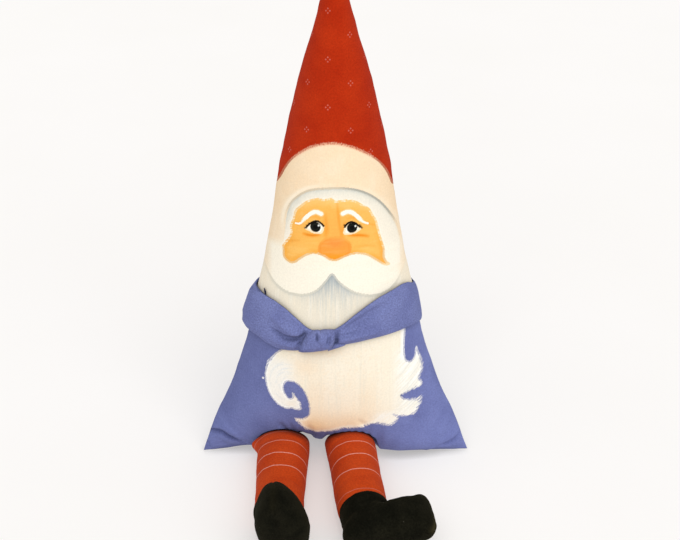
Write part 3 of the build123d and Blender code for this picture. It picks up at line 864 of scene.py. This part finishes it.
def paint_coat(x, s, u):
    p = Paint(len(x))
    p.lay((248, 238, 218), np.ones(len(x)))
    edge = inside_distance(x, s, rounded(BEARD, steps=5), reach=45)
    # feathered ends: long strokes out to the doll's left and down
    tuft = spot(x, s, 92, 98, 10, 15)
    tuft_low = spot(x, s, 90, 66, 11, 12)
    lower = ramp(s, 57, 49)
    curl_end = spot(x, s, -37, 68, 5, 6)
    shoulder = spot(x, s, -68, 113, 5, 8)
    regions = ((np.clip(tuft + tuft_low, 0, 1), 26, 9, 0.9, 2.6), (lower * ramp(x, 52, 34), -62, 5, 1.0, 0.9),
               (lower * ramp(x, 34, 52), 24, 7, 0.8, 1.7), (curl_end, 30, 6, 0.9, 1.2),
               (shoulder, 54, 8, 1.0, 1.6))
    p.feather = np.full(len(x), 0.12)
    p.brush = turned(u, s, 0, 3.0, 3.0, 0)
    for k, (mask, angle, length, width, size) in enumerate(regions):
        here = (mask * size) > p.feather
        p.feather = np.where(here, mask * size, p.feather)
        p.brush = np.where(here[:, None], turned(u, s, angle, length, width, k + 1), p.brush)
    fleck = np.hypot(x + 75, s - 92)
    p.cover = np.maximum(np.clip(edge, -6, 6), 1.1 - fleck)

    down = strokes(u, s, 90, 50, 1.6, 86, 3)
    wide = strokes(u, s, 88, 80, 9, 87, 2)
    speck = grain(u / 2.3, s / 2.3, 90, 2)
    p.lay((249, 231, 203), 0.8 * ramp(s, 118, 62) * ramp(x, 66, 30) * ramp(x, -58, -40))
    p.lay((244, 214, 174), 0.8 * ramp(s, 70, 38) * ramp(x, 52, 16) * ramp(x, -44, -28))
    p.lay((238, 198, 148), 0.6 * spot(x, s, -20, 44, 11, 9))
    p.lay((250, 242, 224), 0.5 * ramp(wide, 0.5, 0.75) * ramp(s, 50, 80))
    p.lay((234, 227, 208), 0.4 * ramp(down, 0.5, 0.8) * ramp(s, 46, 76))
    p.lay((246, 226, 196), 0.3 * ramp(speck, 0.5, 0.85) * ramp(x, 64, 40))
    p.lay((250, 224, 190), 0.45 * spot(x, s, -30, 112, 14, 10))
    p.lay((240, 202, 158), 0.35 * spot(x, s, -20, 130, 26, 5))
    # bright fresh strokes at the fringe and in the curl
    sweep = strokes(u, s, 34, 22, 1.1, 88, 3)
    right = ramp(x, 58, 78) * ramp(s, 130, 116)
    p.lay((246, 242, 230), 0.8 * right)
    p.lay((254, 252, 246), 0.9 * right * ramp(sweep, 0.42, 0.62))
    p.lay((214, 220, 222), 0.35 * right * ramp(sweep, 0.42, 0.26))
    curl = ramp(x, -34, -54) * ramp(s, 124, 108) + curl_end
    p.lay((247, 244, 236), 0.9 * np.clip(curl, 0, 1))
    turn = np.arctan2(s - 90, x + 46)
    swirl = grain(np.hypot(x + 46, s - 90) / 1.1, turn * 1.3, 89, 2)
    p.lay((222, 228, 230), 0.5 * curl * ramp(swirl, 0.55, 0.78))
    p.lay((254, 252, 246), 0.95 * np.clip(ramp(edge, 2.4, 0.9) * np.clip(curl + shoulder, 0, 1), 0, 1))
    low_right = ramp(x, 34, 50) * ramp(s, 62, 54)
    p.lay((252, 249, 240), 0.85 * low_right * (0.5 + 0.5 * ramp(sweep, 0.4, 0.6)))
    p.lay((252, 246, 232), 0.7 * ramp(edge, 4, 1) * lower)
    p.lay((255, 253, 248), 0.95 * ramp(x, 69, 72.5) * ramp(s, 108, 116))
    p.lay((16, 18, 34), ramp(np.hypot(x - 71.6, s - 74.2), 1.3, 0.7))
    return p, edge


count = front.shape[0] * front.shape[1]
flat_x, flat_s = front_x.reshape(-1), front_along.reshape(-1)
flat_u = front_cloth[..., 0].reshape(-1)
colour = np.zeros((count, 3))
cover, feather, hat_side = np.zeros(count), np.zeros(count), np.zeros(count)
brush = np.zeros((count, 3))
for painter, chosen in ((paint_face, flat_s > COAT_TOP), (paint_coat, flat_s <= COAT_TOP)):
    painted, edge = painter(flat_x[chosen], flat_s[chosen], flat_u[chosen])
    colour[chosen] = linear(painted.colour)
    cover[chosen], feather[chosen], brush[chosen] = painted.cover, painted.feather, painted.brush
    hat_side[chosen] = edge

rows, cols = front.shape[:2]
quad_s = front_along[:-1, :-1]
quad_edge = hat_side.reshape(rows, cols)[:-1, :-1]
in_coat = quad_s <= COAT_TOP
in_hat = (~in_coat) & (quad_s > 285) & (quad_edge < -3.0)
in_face = ~in_coat & ~in_hat
data = {"cloth": front_cloth, "colour": colour, "cover": cover, "feather": feather, "brush": brush}


def body_panels(grid, normals, data, flip, panels):
    """Cut a sheet of the body into its panels of cloth, each one piece."""
    rows, cols = grid.shape[:2]
    for name, keep, node, slot, cloth in panels:
        faces = grid_faces(rows, cols, flip=flip, keep=keep)
        mesh_object(name, grid, faces, "torso", (node,), normals, data, cloth)


body_panels(front, front_normals, data, False, (
    ("hat_front", in_hat, "hat_front_panel", "hat_cotton", hat_cloth),
    ("face_front", in_face, "face_panel", "face_cotton", face_cloth),
    ("coat_front", in_coat, "coat_front_panel", "coat_cotton", coat_cloth)))
quad_s = rear_along[:-1, :-1]
count = rear_along.size
unpainted = {"cloth": rear_cloth, "colour": np.zeros((count, 3)), "cover": np.full(count, -5.0),
             "feather": np.zeros(count)}
in_head = (quad_s <= HAT_LOW_REAR) & (quad_s > COAT_TOP_REAR)
body_panels(rear, rear_normals, unpainted, True, (
    ("hat_rear", quad_s > HAT_LOW_REAR, "hat_back_panel", "hat_cotton", hat_cloth),
    ("head_rear", in_head, "head_back_panel", "coat_cotton", back_cloth),
    ("coat_rear", quad_s <= COAT_TOP_REAR, "coat_back_panel", "coat_cotton", back_cloth)))

# ---------------------------------------------------------------- the scarf
# edges of the band by angle round the body: front 0, the doll's left +90
BAND_LOW = [(-180, 152), (-130, 148), (-100, 141), (-90, 139.5), (-75, 138.5), (-60, 136.5), (-48, 131.5),
            (-38, 128.5), (-30, 128.5), (-23, 130), (-10, 134), (-3, 136), (4, 138), (14, 140), (22, 142),
            (31, 143.5), (41, 145), (52, 146.5), (70, 147), (90, 146.5), (130, 149), (180, 152)]
BAND_TOP = [(-180, 204), (-140, 200), (-110, 190), (-85, 186), (-74, 184.5), (-60, 181.5), (-47, 178.5),
            (-36, 172.5), (-26, 163), (-18, 154), (-10, 151), (-2, 152.5), (6, 160.5), (14, 170), (23, 178.5),
            (33, 185.5), (45, 190), (58, 193.5), (68, 193), (80, 189), (100, 189), (140, 201), (180, 204)]


def ring_point(phi, s, out, fullness=1.25):
    """A point outside the body's section at height s, phi radians round from the front."""
    c = np.cos(phi)
    deep = np.where(c > 0, depth_at(FRONT, s), depth_at(BACK, s)) + out
    x = CENTRE_X + (half_width(s) + out) * np.sin(phi)
    return x, -np.sign(c) * deep * np.abs(c) ** fullness


def crest(x, y, line, height, width):
    """A soft ridge, or a crease where height is negative, along a line."""
    d, where = line_distance(x, y, rounded(line, closed=False), reach=4 * width)
    taper = np.sin(np.clip(where, 0, 1) * math.pi) ** 0.7
    return height * taper * bell(d, width)


turns = 420
over, under_count = 76, 14
phi = np.linspace(-math.pi, math.pi, turns)[:, None]
v = np.concatenate([(1 - np.cos(np.linspace(0, math.pi, over))) / 2,
                    np.linspace(1, 0, under_count)])[None, :]
outer = np.concatenate([np.ones(over), np.zeros(under_count)])[None, :]
degrees = np.degrees(phi)
low = soft_table(BAND_LOW, degrees, 2.2)
top = soft_table(BAND_TOP, degrees, 2.2)
s = low + (top - low) * v
left_side = bell(degrees + 92, 34.0)
swell = 2 * v - 1
hump = np.clip(1 - np.abs(swell) ** 3.2, 0, 1) ** 0.5
bulge = np.interp(v, [0, 0.05, 0.15, 0.36, 0.83, 1.0], [1.4, 4.4, 8.0, 9.2, 6.2, 1.5])
near_knot = bell(degrees + 8, 15.0)
out = 1.9 + hump * (2.6 + 3.2 * near_knot) * (1 - left_side) + left_side * bulge
flat_x = CENTRE_X + (half_width(s) + 4) * np.sin(phi)
face_on = np.cos(phi) > 0
folds = np.zeros_like(out)
for line, height, width in (
        # beside the knot, and to the doll's right of it
        ([(-26, 152), (-33, 145), (-42, 142.5), (-52, 143), (-66, 150)], -6.0, 2.1),
        ([(-39.5, 127), (-36, 136), (-31, 148), (-28.5, 156)], -4.0, 1.9),
        ([(1, 132), (2.8, 144), (4.4, 159)], -4.0, 1.6),
        ([(-31, 146), (-44, 150), (-56, 157), (-66, 166)], 2.6, 4.0),
        ([(-30, 136), (-42, 134.5), (-54, 135), (-66, 139)], 2.8, 3.2),
        ([(-29, 139), (-35, 138), (-40, 137)], -1.2, 1.4),
        ([(-28, 150.5), (-36, 156), (-44, 163)], -0.9, 2.0),
        ([(-70, 160), (-80, 156), (-92, 151)], -0.8, 4.0),
        ([(-70, 189), (-80, 184), (-90, 178)], -3.4, 2.0),
        # doll's left of the knot
        ([(3, 151), (14, 157), (28, 163), (44, 172), (58, 178)], -4.4, 4.6),
        ([(4, 148), (16, 149.5), (30, 154)], -2.2, 2.2),
        ([(3, 155), (14, 164.5), (28, 175), (44, 184), (60, 190)], 2.4, 2.8),
        ([(2, 142), (18, 145.5), (36, 148), (56, 152)], 2.8, 4.0),
        ([(4, 139), (14, 141), (24, 142.5)], -0.8, 1.2),
        ([(66, 192), (72, 180), (77, 168)], -0.7, 4.0)):
    folds += crest(flat_x, s, line, height, width)
folds = folds * face_on
folds += (1.5 * (grain(degrees / 13.0, s / 20.0, 101, 2) - 0.5)
          + 0.5 * (grain(degrees / 4.5, s / 6.0, 102, 2) - 0.5))
out = out + folds * hump * outer
out = np.where(outer > 0, np.maximum(out, 1.7), 1.3)
fullness = 1.25 - 0.15 * left_side * outer
x, back = ring_point(phi + 0 * s, s, out, fullness)
band = place(x, back, s)
arc = np.cumsum(np.full((turns, 1), 1.25), axis=0) + 0 * s
cloth = np.stack([arc, s + 80 * (1 - outer), 0 * s], -1)
scarf_cloth = cotton("scarf_cotton", SCARF_DARK, SCARF_LIGHT, nap=0.32)
faces = grid_faces(turns, over + under_count, wrap=True)
scarf = mesh_object("scarf_wrap", band, faces, "scarf", ("scarf_band",), None,
                    {"cloth": cloth}, scarf_cloth)

# the knot: the band's end brought up and over
across, upward = 70, 60
u = np.linspace(-1, 1, across)[None, :]
w = np.linspace(-1, 1, upward)[:, None]
u = np.sin(u * math.pi / 2) * 0.55 + u * 0.45
w = np.sin(w * math.pi / 2) * 0.55 + w * 0.45
left = -31.6 + 5.0 * w - 1.2 * (1 - w ** 2)
right = -1.4 + 1.7 * (w + 1) + 1.6 * (1 - w ** 2)
kx = left + (right - left) * (u + 1) / 2
bottom = 128.8 + 6.6 * (u + 1) / 2 - 0.8 * (1 - u ** 2)
ceiling = 151.6 + 3.0 * (u + 1) / 2 + 1.2 * (1 - u ** 2) - 0.7 * bell(u + 0.1, 0.1)
ks = bottom + (ceiling - bottom) * (w + 1) / 2
dome = np.clip(1 - np.abs(u) ** 7.0, 0, 1) ** 0.5 * np.clip(1 - np.abs(w) ** 3.0, 0, 1) ** 0.5
height = 2.4 + 11.6 * dome
kfold = np.zeros_like(height)
for line, deep, width in (
        ([(-17.5, 156), (-17, 149), (-16.6, 144.5)], -4.0, 1.2),
        ([(-13.8, 155), (-13, 148), (-12, 141)], 1.4, 2.0),
        ([(-19, 157), (-20, 149), (-22, 141), (-23.5, 135)], 0.8, 2.6),
        ([(-27.5, 152), (-29.5, 145), (-29, 137)], -2.0, 1.6),
        ([(-0.8, 155), (-1.6, 147), (-4.2, 138)], 2.2, 1.3),
        ([(-4.4, 154), (-5, 147), (-7.5, 139)], -2.2, 1.8),
        ([(-26, 134.5), (-16, 136), (-6, 138)], -0.7, 1.5)):
    kfold += crest(kx, ks, line, deep, width)
kfold += 0.8 * (grain(kx / 6.0, ks / 9.0, 111, 2) - 0.5)
height = height + kfold * dome ** 0.7
kx2 = np.vstack([kx, kx[::-1]])
ks2 = np.vstack([ks, ks[::-1]])
kh = np.vstack([height, np.full_like(height, 1.9)])
kback = skin_back(kx2, ks2) - kh
knot_points = place(kx2, kback, ks2)
knot_cloth = np.stack([kx2 * 0.6 + ks2 * 0.8, ks2 * 0.6 - kx2 * 0.8, 0 * kx2], -1)
knot = mesh_object("scarf_tie", knot_points, grid_faces(2 * upward, across), "scarf", ("scarf_knot",),
                   None, {"cloth": knot_cloth}, scarf_cloth)

# the loose end tucked out below the knot
u = np.linspace(0, 1, 40)[None, :]
w = np.linspace(0, 1, 24)[:, None]
tx = -6.0 + 18.0 * u + 1.5 * w
ts = 131.6 + 6.0 * u ** 0.8 + (9.0 - 6.5 * u ** 1.6) * w
th = 2.2 + 6.0 * np.clip(1 - np.abs(2 * w - 1) ** 2.4, 0, 1) ** 0.5 * np.clip(1 - u ** 2.2, 0, 1) ** 0.5
tail_points = np.vstack([place(tx, skin_back(tx, ts) - th, ts), place(tx, skin_back(tx, ts) - 1.5, ts)[::-1]])
tail_cloth = np.stack([np.vstack([tx, tx]), np.vstack([ts, ts]), 0 * np.vstack([ts, ts])], -1)
tail = mesh_object("scarf_end", tail_points, grid_faces(48, 40), "scarf", (), None,
                   {"cloth": tail_cloth}, scarf_cloth)


def tube(name, path, radius, body, nodes, material, ring=10):
    """A short round thread along a path of millimetre points."""
    path = np.array(path, float)
    along = np.gradient(path, axis=0)
    along /= np.linalg.norm(along, axis=1, keepdims=True)
    side = np.cross(along, (0.2, 0.9, 0.3))
    side /= np.linalg.norm(side, axis=1, keepdims=True)
    other = np.cross(along, side)
    turn = np.linspace(0, 2 * math.pi, ring, endpoint=False)[None, :, None]
    taper = np.sin(np.linspace(0.08, 0.92, len(path)) * math.pi)[:, None, None] ** 0.5 * radius
    points = path[:, None, :] + taper * (np.cos(turn) * side[:, None, :] + np.sin(turn) * other[:, None, :])
    count = len(path)
    cloth = np.repeat(np.arange(count, dtype=float)[:, None] * 0.4, ring, axis=1)
    cloth = np.stack([cloth, cloth * 0 + np.arange(ring) * 0.3, cloth * 0], -1)
    return mesh_object(name, points, capped(points), body, nodes, None, {"cloth": cloth}, material)


stitch_s = np.linspace(180.5, 187.0, 9)
stitch_x = -71.4 - 1.6 * ((stitch_s - 180.5) / 6.5) ** 1.5
thread = cotton("thread", (26, 30, 58), (44, 48, 82), threads=6.0)
tube("fold_stitch", place(stitch_x, skin_back(stitch_x, stitch_s) - 2.4, stitch_s), 0.85, "scarf",
     ("scarf_fold_stitch",), thread)

# ---------------------------------------------------------------- legs
LEG_STRIPES = {"left": [(61, 0.8), (83, 0.95), (107.5, 0.9), (138, 0.3)],
               "right": [(38, 0.35), (57, 0.7), (79, 0.95), (100.5, 0.95)]}


def leg_material(side):
    m = Cloth(side + "_leg_stripe")
    v = m.place()
    weave = m.weave(v, 2.2)
    cloud = m.noise(v, 0.04, 4.0)
    base = m.mix(m.range(cloud, 0.35, 0.65), rgba(LEG_DARK), rgba(LEG_LIGHT))
    split = m.split(v)
    wander = m.range(m.noise(m.scaled(v, (0.06, 0.0, 0.0)), 1.0, 2.0), 0.3, 0.7, -0.6, 0.6)
    along = m.plus(split[1], wander)
    total = 0.0
    for d, strength in LEG_STRIPES[side]:
        far = m.math("ABSOLUTE", m.minus(along, float(d)))
        total = m.plus(m.range(far, 0.3, 0.8, strength, 0.0), total)
    broken = m.range(m.noise(m.scaled(v, (0.9, 0.9, 0.9)), 1.0, 3.0), 0.35, 0.6, 0.45, 1.0)
    base = m.mix(m.times(total, broken), base, rgba((232, 170, 158)))
    base = m.tint(base, thready(m, v, weave, 0.2))
    m.bump(weave, 0.35, 0.0004)
    m.finish(base, rough=0.9, shade=0.2)
    return m.material


def leg_grid(side, inset=0.0, step=1.1, ring=150, far=145.5):
    d = np.arange(2.5, far, step)[:, None]
    turn = np.linspace(0, 2 * math.pi, ring, endpoint=False)[None, :]
    w, h = leg_size(side, d)
    q = w * np.sign(np.cos(turn)) * np.abs(np.cos(turn)) ** 0.94
    z = h / 2 + h / 2 * np.sin(turn)
    flare = 7.0 * np.exp(-(np.abs(d - 31) / 8.5) ** 1.6) * bell(turn - math.pi, 0.5)
    q = q - flare * (side == "right")
    q = q - 1.3 * ramp(d, 50, 120) * (side == "left")
    shifted = d / 17.0 + (5 if side == "left" else 0)
    bump = 1.1 * (grain(shifted, 3 + np.cos(turn) * 1.6 + np.sin(turn) * 0.7, 131, 3) - 0.5)
    creases = np.zeros_like(z)
    out_side = 1.0 if side == "left" else -1.0
    for at, slant, deep, where, spread in ((47, 5, 0.9, 0.75, 0.5), (57, -6, 0.7, -0.6, 0.5),
                                           (132, 4, 0.7, 0.4, 0.7), (124, -5, 0.5, -0.7, 0.5),
                                           (92, 6, 0.35, 0.9, 0.4)):
        level = d - at - slant * np.sin(turn)
        around = np.cos(turn) * out_side
        creases -= deep * bell(level, 2.4) * bell(around - where, spread)
    grow = bump + creases - inset - 1.0 * ramp(d, 139, 146)
    q = q + grow * np.cos(turn)
    z = z + grow * np.sin(turn)
    hip, yaw = hip_and_yaw(side)
    x = hip + d * math.sin(yaw) + q * math.cos(yaw)
    y = -d * math.cos(yaw) + q * math.sin(yaw)
    z = np.maximum(z, 0.35 + inset)
    points = np.stack([x, y, z], -1)
    cloth = np.stack([turn * 26 + 0 * d, d + 0 * turn, 0 * q], -1)
    return points, cloth


def leg_frame(side):
    hip, yaw = hip_and_yaw(side)
    down = np.array([math.sin(yaw), -math.cos(yaw), 0.0])
    return np.array([hip, 0.0, LEG_AXIS_Z]) + LEG_LENGTH * down, down


def fibre_material():
    """Loose white polyester fibre."""
    m = Cloth("stuffing_fibre")
    v = m.place()
    wool = m.noise(m.scaled(v, (0.5, 0.2, 0.5)), 0.6, 6.0)
    base = m.mix(m.range(wool, 0.3, 0.7), rgba((214, 212, 206)), rgba((240, 239, 234)))
    m.bump(wool, 0.8, 0.002)
    return m.finish(base, rough=0.95, sheen=0.2)


fibre = fibre_material()
for side, (_, _, leg_body, foot_body) in LEGS.items():
    cuff, down = leg_frame(side)
    points, cloth = leg_grid(side)
    tube_piece = mesh_object(side + "_leg", points, capped(points), None, (side + "_leg_tube",),
                             None, {"cloth": cloth}, leg_material(side))
    points, cloth = leg_grid(side, inset=2.4, step=3.0, ring=48, far=142.0)
    filling = mesh_object(side + "_leg_fill", points, capped(points), None, (side + "_leg_stuffing",),
                          None, {"cloth": cloth}, fibre)
    for piece in (tube_piece, filling):
        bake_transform(piece)

# ---------------------------------------------------------------- boots
# the foot by place towards the toe: half thickness, instep and sole places down the leg
FOOT = [(-26, 5, 33, 42), (-24, 11, 27, 47), (-20, 17, 21, 52.5), (-12, 22.5, 11, 58), (8, 26, 6, 60.5),
        (24, 25.8, 13, 60.5), (32, 24.5, 12.5, 60.5), (40, 22.3, 11.5, 60.3), (47, 19.8, 11.5, 60),
        (54, 16.4, 13, 59), (59, 13, 16.5, 57.5), (63, 9.4, 21, 54.5), (66.5, 4, 30, 48)]
BOOT_ROLL = {"left": 82.0, "right": -5.5}
TOE_LEAN = {"left": -0.22, "right": 0.18}


def boot_axes(side):
    cuff, down = leg_frame(side)
    outward = np.cross(np.array([0, 0, 1.0]), down)
    outward = outward * (1 if outward[0] > 0 else -1)
    roll = math.radians(BOOT_ROLL[side])
    toe = math.cos(roll) * np.array([0, 0, 1.0]) + math.sin(roll) * outward
    return cuff, down, toe, np.cross(down, toe)


def boot_body():
    """Shaft and foot joined and rounded, points as (down, toe, thickness)."""
    turn = np.linspace(0, 2 * math.pi, 48, endpoint=False)
    q = np.arange(-26, 67, 1.0)
    table = np.array(FOOT, float)
    foot = []
    for value in q:
        half, instep, sole = (np.interp(value, table[:, 0], table[:, k]) for k in (1, 2, 3))
        c, sn = np.cos(turn), np.sin(turn)
        down = (instep + sole) / 2 + (sole - instep) / 2 * np.sign(c) * np.abs(c) ** 0.8
        foot.append(np.stack([down, np.full(48, value), half * np.sign(sn) * np.abs(sn) ** 0.9], -1))
    shaft = []
    for t in np.arange(-2, 40, 2.0):
        wide = 25.6 - 1.6 * ramp(t, 4, 30)
        shaft.append(np.stack([np.full(48, t), wide * np.cos(turn), (wide - 0.4) * np.sin(turn)], -1))
    parts = []
    for rings in (np.array(foot), np.array(shaft)):
        parts.append(mesh_object("boot_part", rings, capped(rings), None))
    with bpy.context.temp_override(active_object=parts[0], selected_editable_objects=parts):
        bpy.ops.object.join()
    whole = parts[0]
    remesh = whole.modifiers.new("whole", "REMESH")
    remesh.mode = "VOXEL"
    remesh.voxel_size = 0.0015
    smooth = whole.modifiers.new("soft", "SMOOTH")
    smooth.factor = 0.5
    smooth.iterations = 14
    graph = bpy.context.evaluated_depsgraph_get()
    made = bpy.data.meshes.new_from_object(whole.evaluated_get(graph))
    count = len(made.vertices)
    co = np.empty(count * 3)
    made.vertices.foreach_get("co", co)
    normals = np.empty(count * 3)
    made.vertices.foreach_get("normal", normals)
    faces = [list(p.vertices) for p in made.polygons]
    faces = [np.array(group) for group in ([f for f in faces if len(f) == 4],
                                           [f for f in faces if len(f) == 3]) if group]
    bpy.data.objects.remove(whole)
    return co.reshape(-1, 3) * 1000, normals.reshape(-1, 3), faces


def boot_world(side, p, floor_gap):
    """Lay a boot on its leg: foot tipped and settled on the floor."""
    cuff, d_axis, t_axis, p_axis = boot_axes(side)
    down, toe = p[:, 0], p[:, 1]
    t = down + TOE_LEAN[side] * np.clip(toe, 0, None) * ramp(down, 2, 22)
    if side == "right":
        cuff = cuff + np.array([7.0, 0, 0]) * ramp(down, 0, 34)[:, None]
    else:
        t = t - 7.5 * ramp(toe, 46, 64) * ramp(down, 50, 14)
        t = t + 6.0 * ramp(toe, 44, 62) * ramp(down, 30, 50)
    world = cuff + t[:, None] * d_axis + p[:, [1]] * t_axis + p[:, [2]] * p_axis
    z = world[:, 2] - floor_gap
    settled = floor_gap + 0.5 * (z + np.sqrt(z ** 2 + 3.0)) - 0.2 * bell(z, 3.0)
    world[:, 2] = np.where(z > 12, world[:, 2], np.maximum(settled, floor_gap))
    return world


def boot_material():
    m = Cloth("velveteen")
    v = m.place()
    nap = m.noise(v, 1.2, 5.0)
    cloud = m.noise(v, 0.06, 4.0)
    base = m.mix(m.range(cloud, 0.38, 0.66), rgba((15, 15, 10)), rgba((24, 23, 16)))
    base = m.tint(base, m.range(m.noise(v, 0.6, 3.0), 0.3, 0.7, 0.62, 1.4))
    # Lighter brown beside the seam line at the toe end.
    base = m.mix(m.times(m.attribute("seam"), 0.6), base, rgba((66, 60, 38)))
    # Painted sheen: a lighter brown is blended in where the surface turns away from the view, standing in for
    # the velvet's glow at its edges.
    facing = m.add("ShaderNodeLayerWeight")
    facing.inputs["Blend"].default_value = 0.35
    painted_rim_sheen = m.range(facing.outputs["Facing"], 0.3, 1.0, 0.0, 0.4)
    base = m.mix(painted_rim_sheen, base, rgba((52, 49, 34)))
    fleck = m.add("ShaderNodeTexVoronoi")
    m.link(v, fleck.inputs["Vector"])
    fleck.inputs["Scale"].default_value = 0.055
    lint = m.range(fleck.outputs["Distance"], 0.012, 0.026, 1.0, 0.0)
    base = m.mix(m.times(lint, 0.4), base, rgba((130, 126, 112)))
    m.bump(m.plus(m.times(nap, 0.8), m.times(cloud, 0.6)), 0.5, 0.0006)
    m.finish(base, rough=0.95, sheen=0.03, sheen_tint=rgba((120, 112, 84)), specular=0.02)
    return m.material


velveteen = boot_material()
for side, (_, _, _, foot_body) in LEGS.items():
    p, n, faces = boot_body()
    plain = p
    down, toe, thick = p[:, 0], p[:, 1], p[:, 2]
    groove = bell(thick, 0.9) * ramp(np.hypot(toe, thick), 6, 16)
    pucker = grain(down / 4.0 + toe / 5.0, np.zeros_like(down), 141, 2) - 0.5
    shift = -0.9 * groove + 0.9 * pucker * bell(thick, 5.0) * (1 - groove)
    for line, height, width in (([(6, 26), (10, 22), (17, 20), (26, 21)], -2.4, 3.0),
                                ([(12, 22), (20, 14), (28, 8)], -1.4, 2.6),
                                ([(9, 20), (14, 10), (22, -2)], -0.8, 3.0),
                                ([(30, -24), (24, -12), (20, 0)], -0.7, 3.0)):
        shift += crest(down, toe, line, height, width) * ramp(np.abs(thick), 3, 10)
    shift += 1.7 * (grain(toe / 21.0, down / 19.0 + np.sign(thick) * 4, 142, 2) - 0.5)
    shift += 0.5 * (grain(toe / 7.0, down / 7.0 + np.sign(thick) * 9, 143, 2) - 0.5)
    shift = shift * ramp(down, -1.5, 6)
    p = p + n * shift[:, None]
    world = boot_world(side, p, 0.4)
    # Lighter brown beside the seam at the toe end, strong on the left boot and faint on the right.
    seam = bell(thick - 2, 4.0) * ramp(toe, 55, 63) * (1.0 if side == "left" else 0.15)
    boot = mesh_object(side + "_boot", world, faces, foot_body,
                       (side + "_boot_inner_side", side + "_boot_outer_side"), None,
                       {"cloth": np.stack([down, toe, thick], -1), "seam": seam}, velveteen)
    p = plain - 5.5 * n
    filling = mesh_object(side + "_boot_fill", boot_world(side, p, 3.0), faces, foot_body,
                          (side + "_boot_stuffing",), None, {"cloth": p}, fibre)

# ---------------------------------------------------------------- body filling and the pellet bag
def body_fill(name, node, low, high, margin, share, material, every=7, centre=0.5):
    """A filling between the front and back cloth, short of the seams."""
    pick_rows = np.where((front_along[:, 0] > low) & (front_along[:, 0] < high))[0][::every]
    inner = slice(margin, -margin, 3)
    rings = []
    for r in pick_rows:
        fore, aft = front[r, ::2][inner], rear[r][inner]
        middle = aft + (fore - aft) * centre
        rings.append(np.vstack([middle + (fore - middle) * share, (middle + (aft - middle) * share)[::-1]]))
    rings = np.array(rings)
    rings[..., 2] = np.maximum(rings[..., 2], 1.5)
    return mesh_object(name, rings, capped(rings), "torso", (node,), None, {"cloth": rings}, material)


for name, node, low, high in (("body_fill", "body_stuffing", 55, 229),
                               ("head_fill", "head_stuffing", 232, 520)):
    body_fill(name, node, low, high, 46, 0.86, fibre)

bag_weave = cotton("bag_cloth", (216, 206, 186), (228, 219, 202), threads=1.2)
pellet_look = Cloth("pellet_beads")
# Painted shade: each bead's colour is lighter at its middle and darker towards its edge and the gaps between
# beads.
beads = pellet_look.add("ShaderNodeTexVoronoi")
pellet_look.link(pellet_look.add("ShaderNodeTexCoord").outputs["Object"], beads.inputs["Vector"])
beads.inputs["Scale"].default_value = 320.0
pellet_look.bump(beads.outputs["Distance"], 0.8, 0.001)
pellet_look.finish(pellet_look.mix(pellet_look.range(beads.outputs["Distance"], 0.0, 0.6),
                                   rgba((238, 238, 240)), rgba((196, 198, 202))), rough=0.4, specular=0.4)
for name, node, low, high, share, look in (
        ("weight_bag", "pellet_bag", 9, 40, 0.5, bag_weave),
        ("weight_pellets", "pellets", 11, 38, 0.42, pellet_look.material)):
    body_fill(name, node, low, high, 56, share, look, every=3, centre=0.34)

# ---------------------------------------------------------------- floor, light, camera
floor_mesh = bpy.data.meshes.new("floor")
floor_mesh.from_pydata([(-9, -6, -0.0004), (9, -6, -0.0004), (9, 14, -0.0004), (-9, 14, -0.0004)], [],
                       [(0, 1, 2, 3)])
floor = bpy.data.objects.new("floor", floor_mesh)
scene.collection.objects.link(floor)
paper = Cloth("floor_paper")
tone = paper.noise(paper.add("ShaderNodeTexCoord").outputs["Object"], 3.0, 3.0)
paper.finish(paper.mix(paper.range(tone, 0.3, 0.7), rgba((196, 195, 193)), rgba((198, 197, 196))), rough=0.95,
             sheen=0.0, specular=0.0)
paper.shader.inputs["Emission Color"].default_value = rgba((255, 252, 250))
paper.shader.inputs["Emission Strength"].default_value = 0.42
floor_mesh.materials.append(paper.material)

key_light = bpy.data.lights.new("key", "SUN")
key_light.energy = 1.68
key_light.angle = math.radians(80)
key = bpy.data.objects.new("key", key_light)
key.rotation_euler = Vector((0.22, -1.0, 1.15)).to_track_quat("Z", "Y").to_euler()
scene.collection.objects.link(key)
world = bpy.data.worlds.new("studio")
world.use_nodes = True
world.node_tree.nodes["Background"].inputs["Color"].default_value = (1.0, 0.995, 0.985, 1.0)
world.node_tree.nodes["Background"].inputs["Strength"].default_value = 0.60
scene.world = world
scene.view_settings.view_transform = "Standard"
scene.view_settings.look = "None"

camera_data = bpy.data.cameras.new("camera")
camera_data.lens = 65.0
camera_data.sensor_width = 36.0
camera = bpy.data.objects.new("camera", camera_data)
camera.location = (0.0066, -1.0845, 0.8470)
camera.rotation_euler = (math.radians(60.0), 0.0, 0.0)
scene.collection.objects.link(camera)
scene.camera = camera
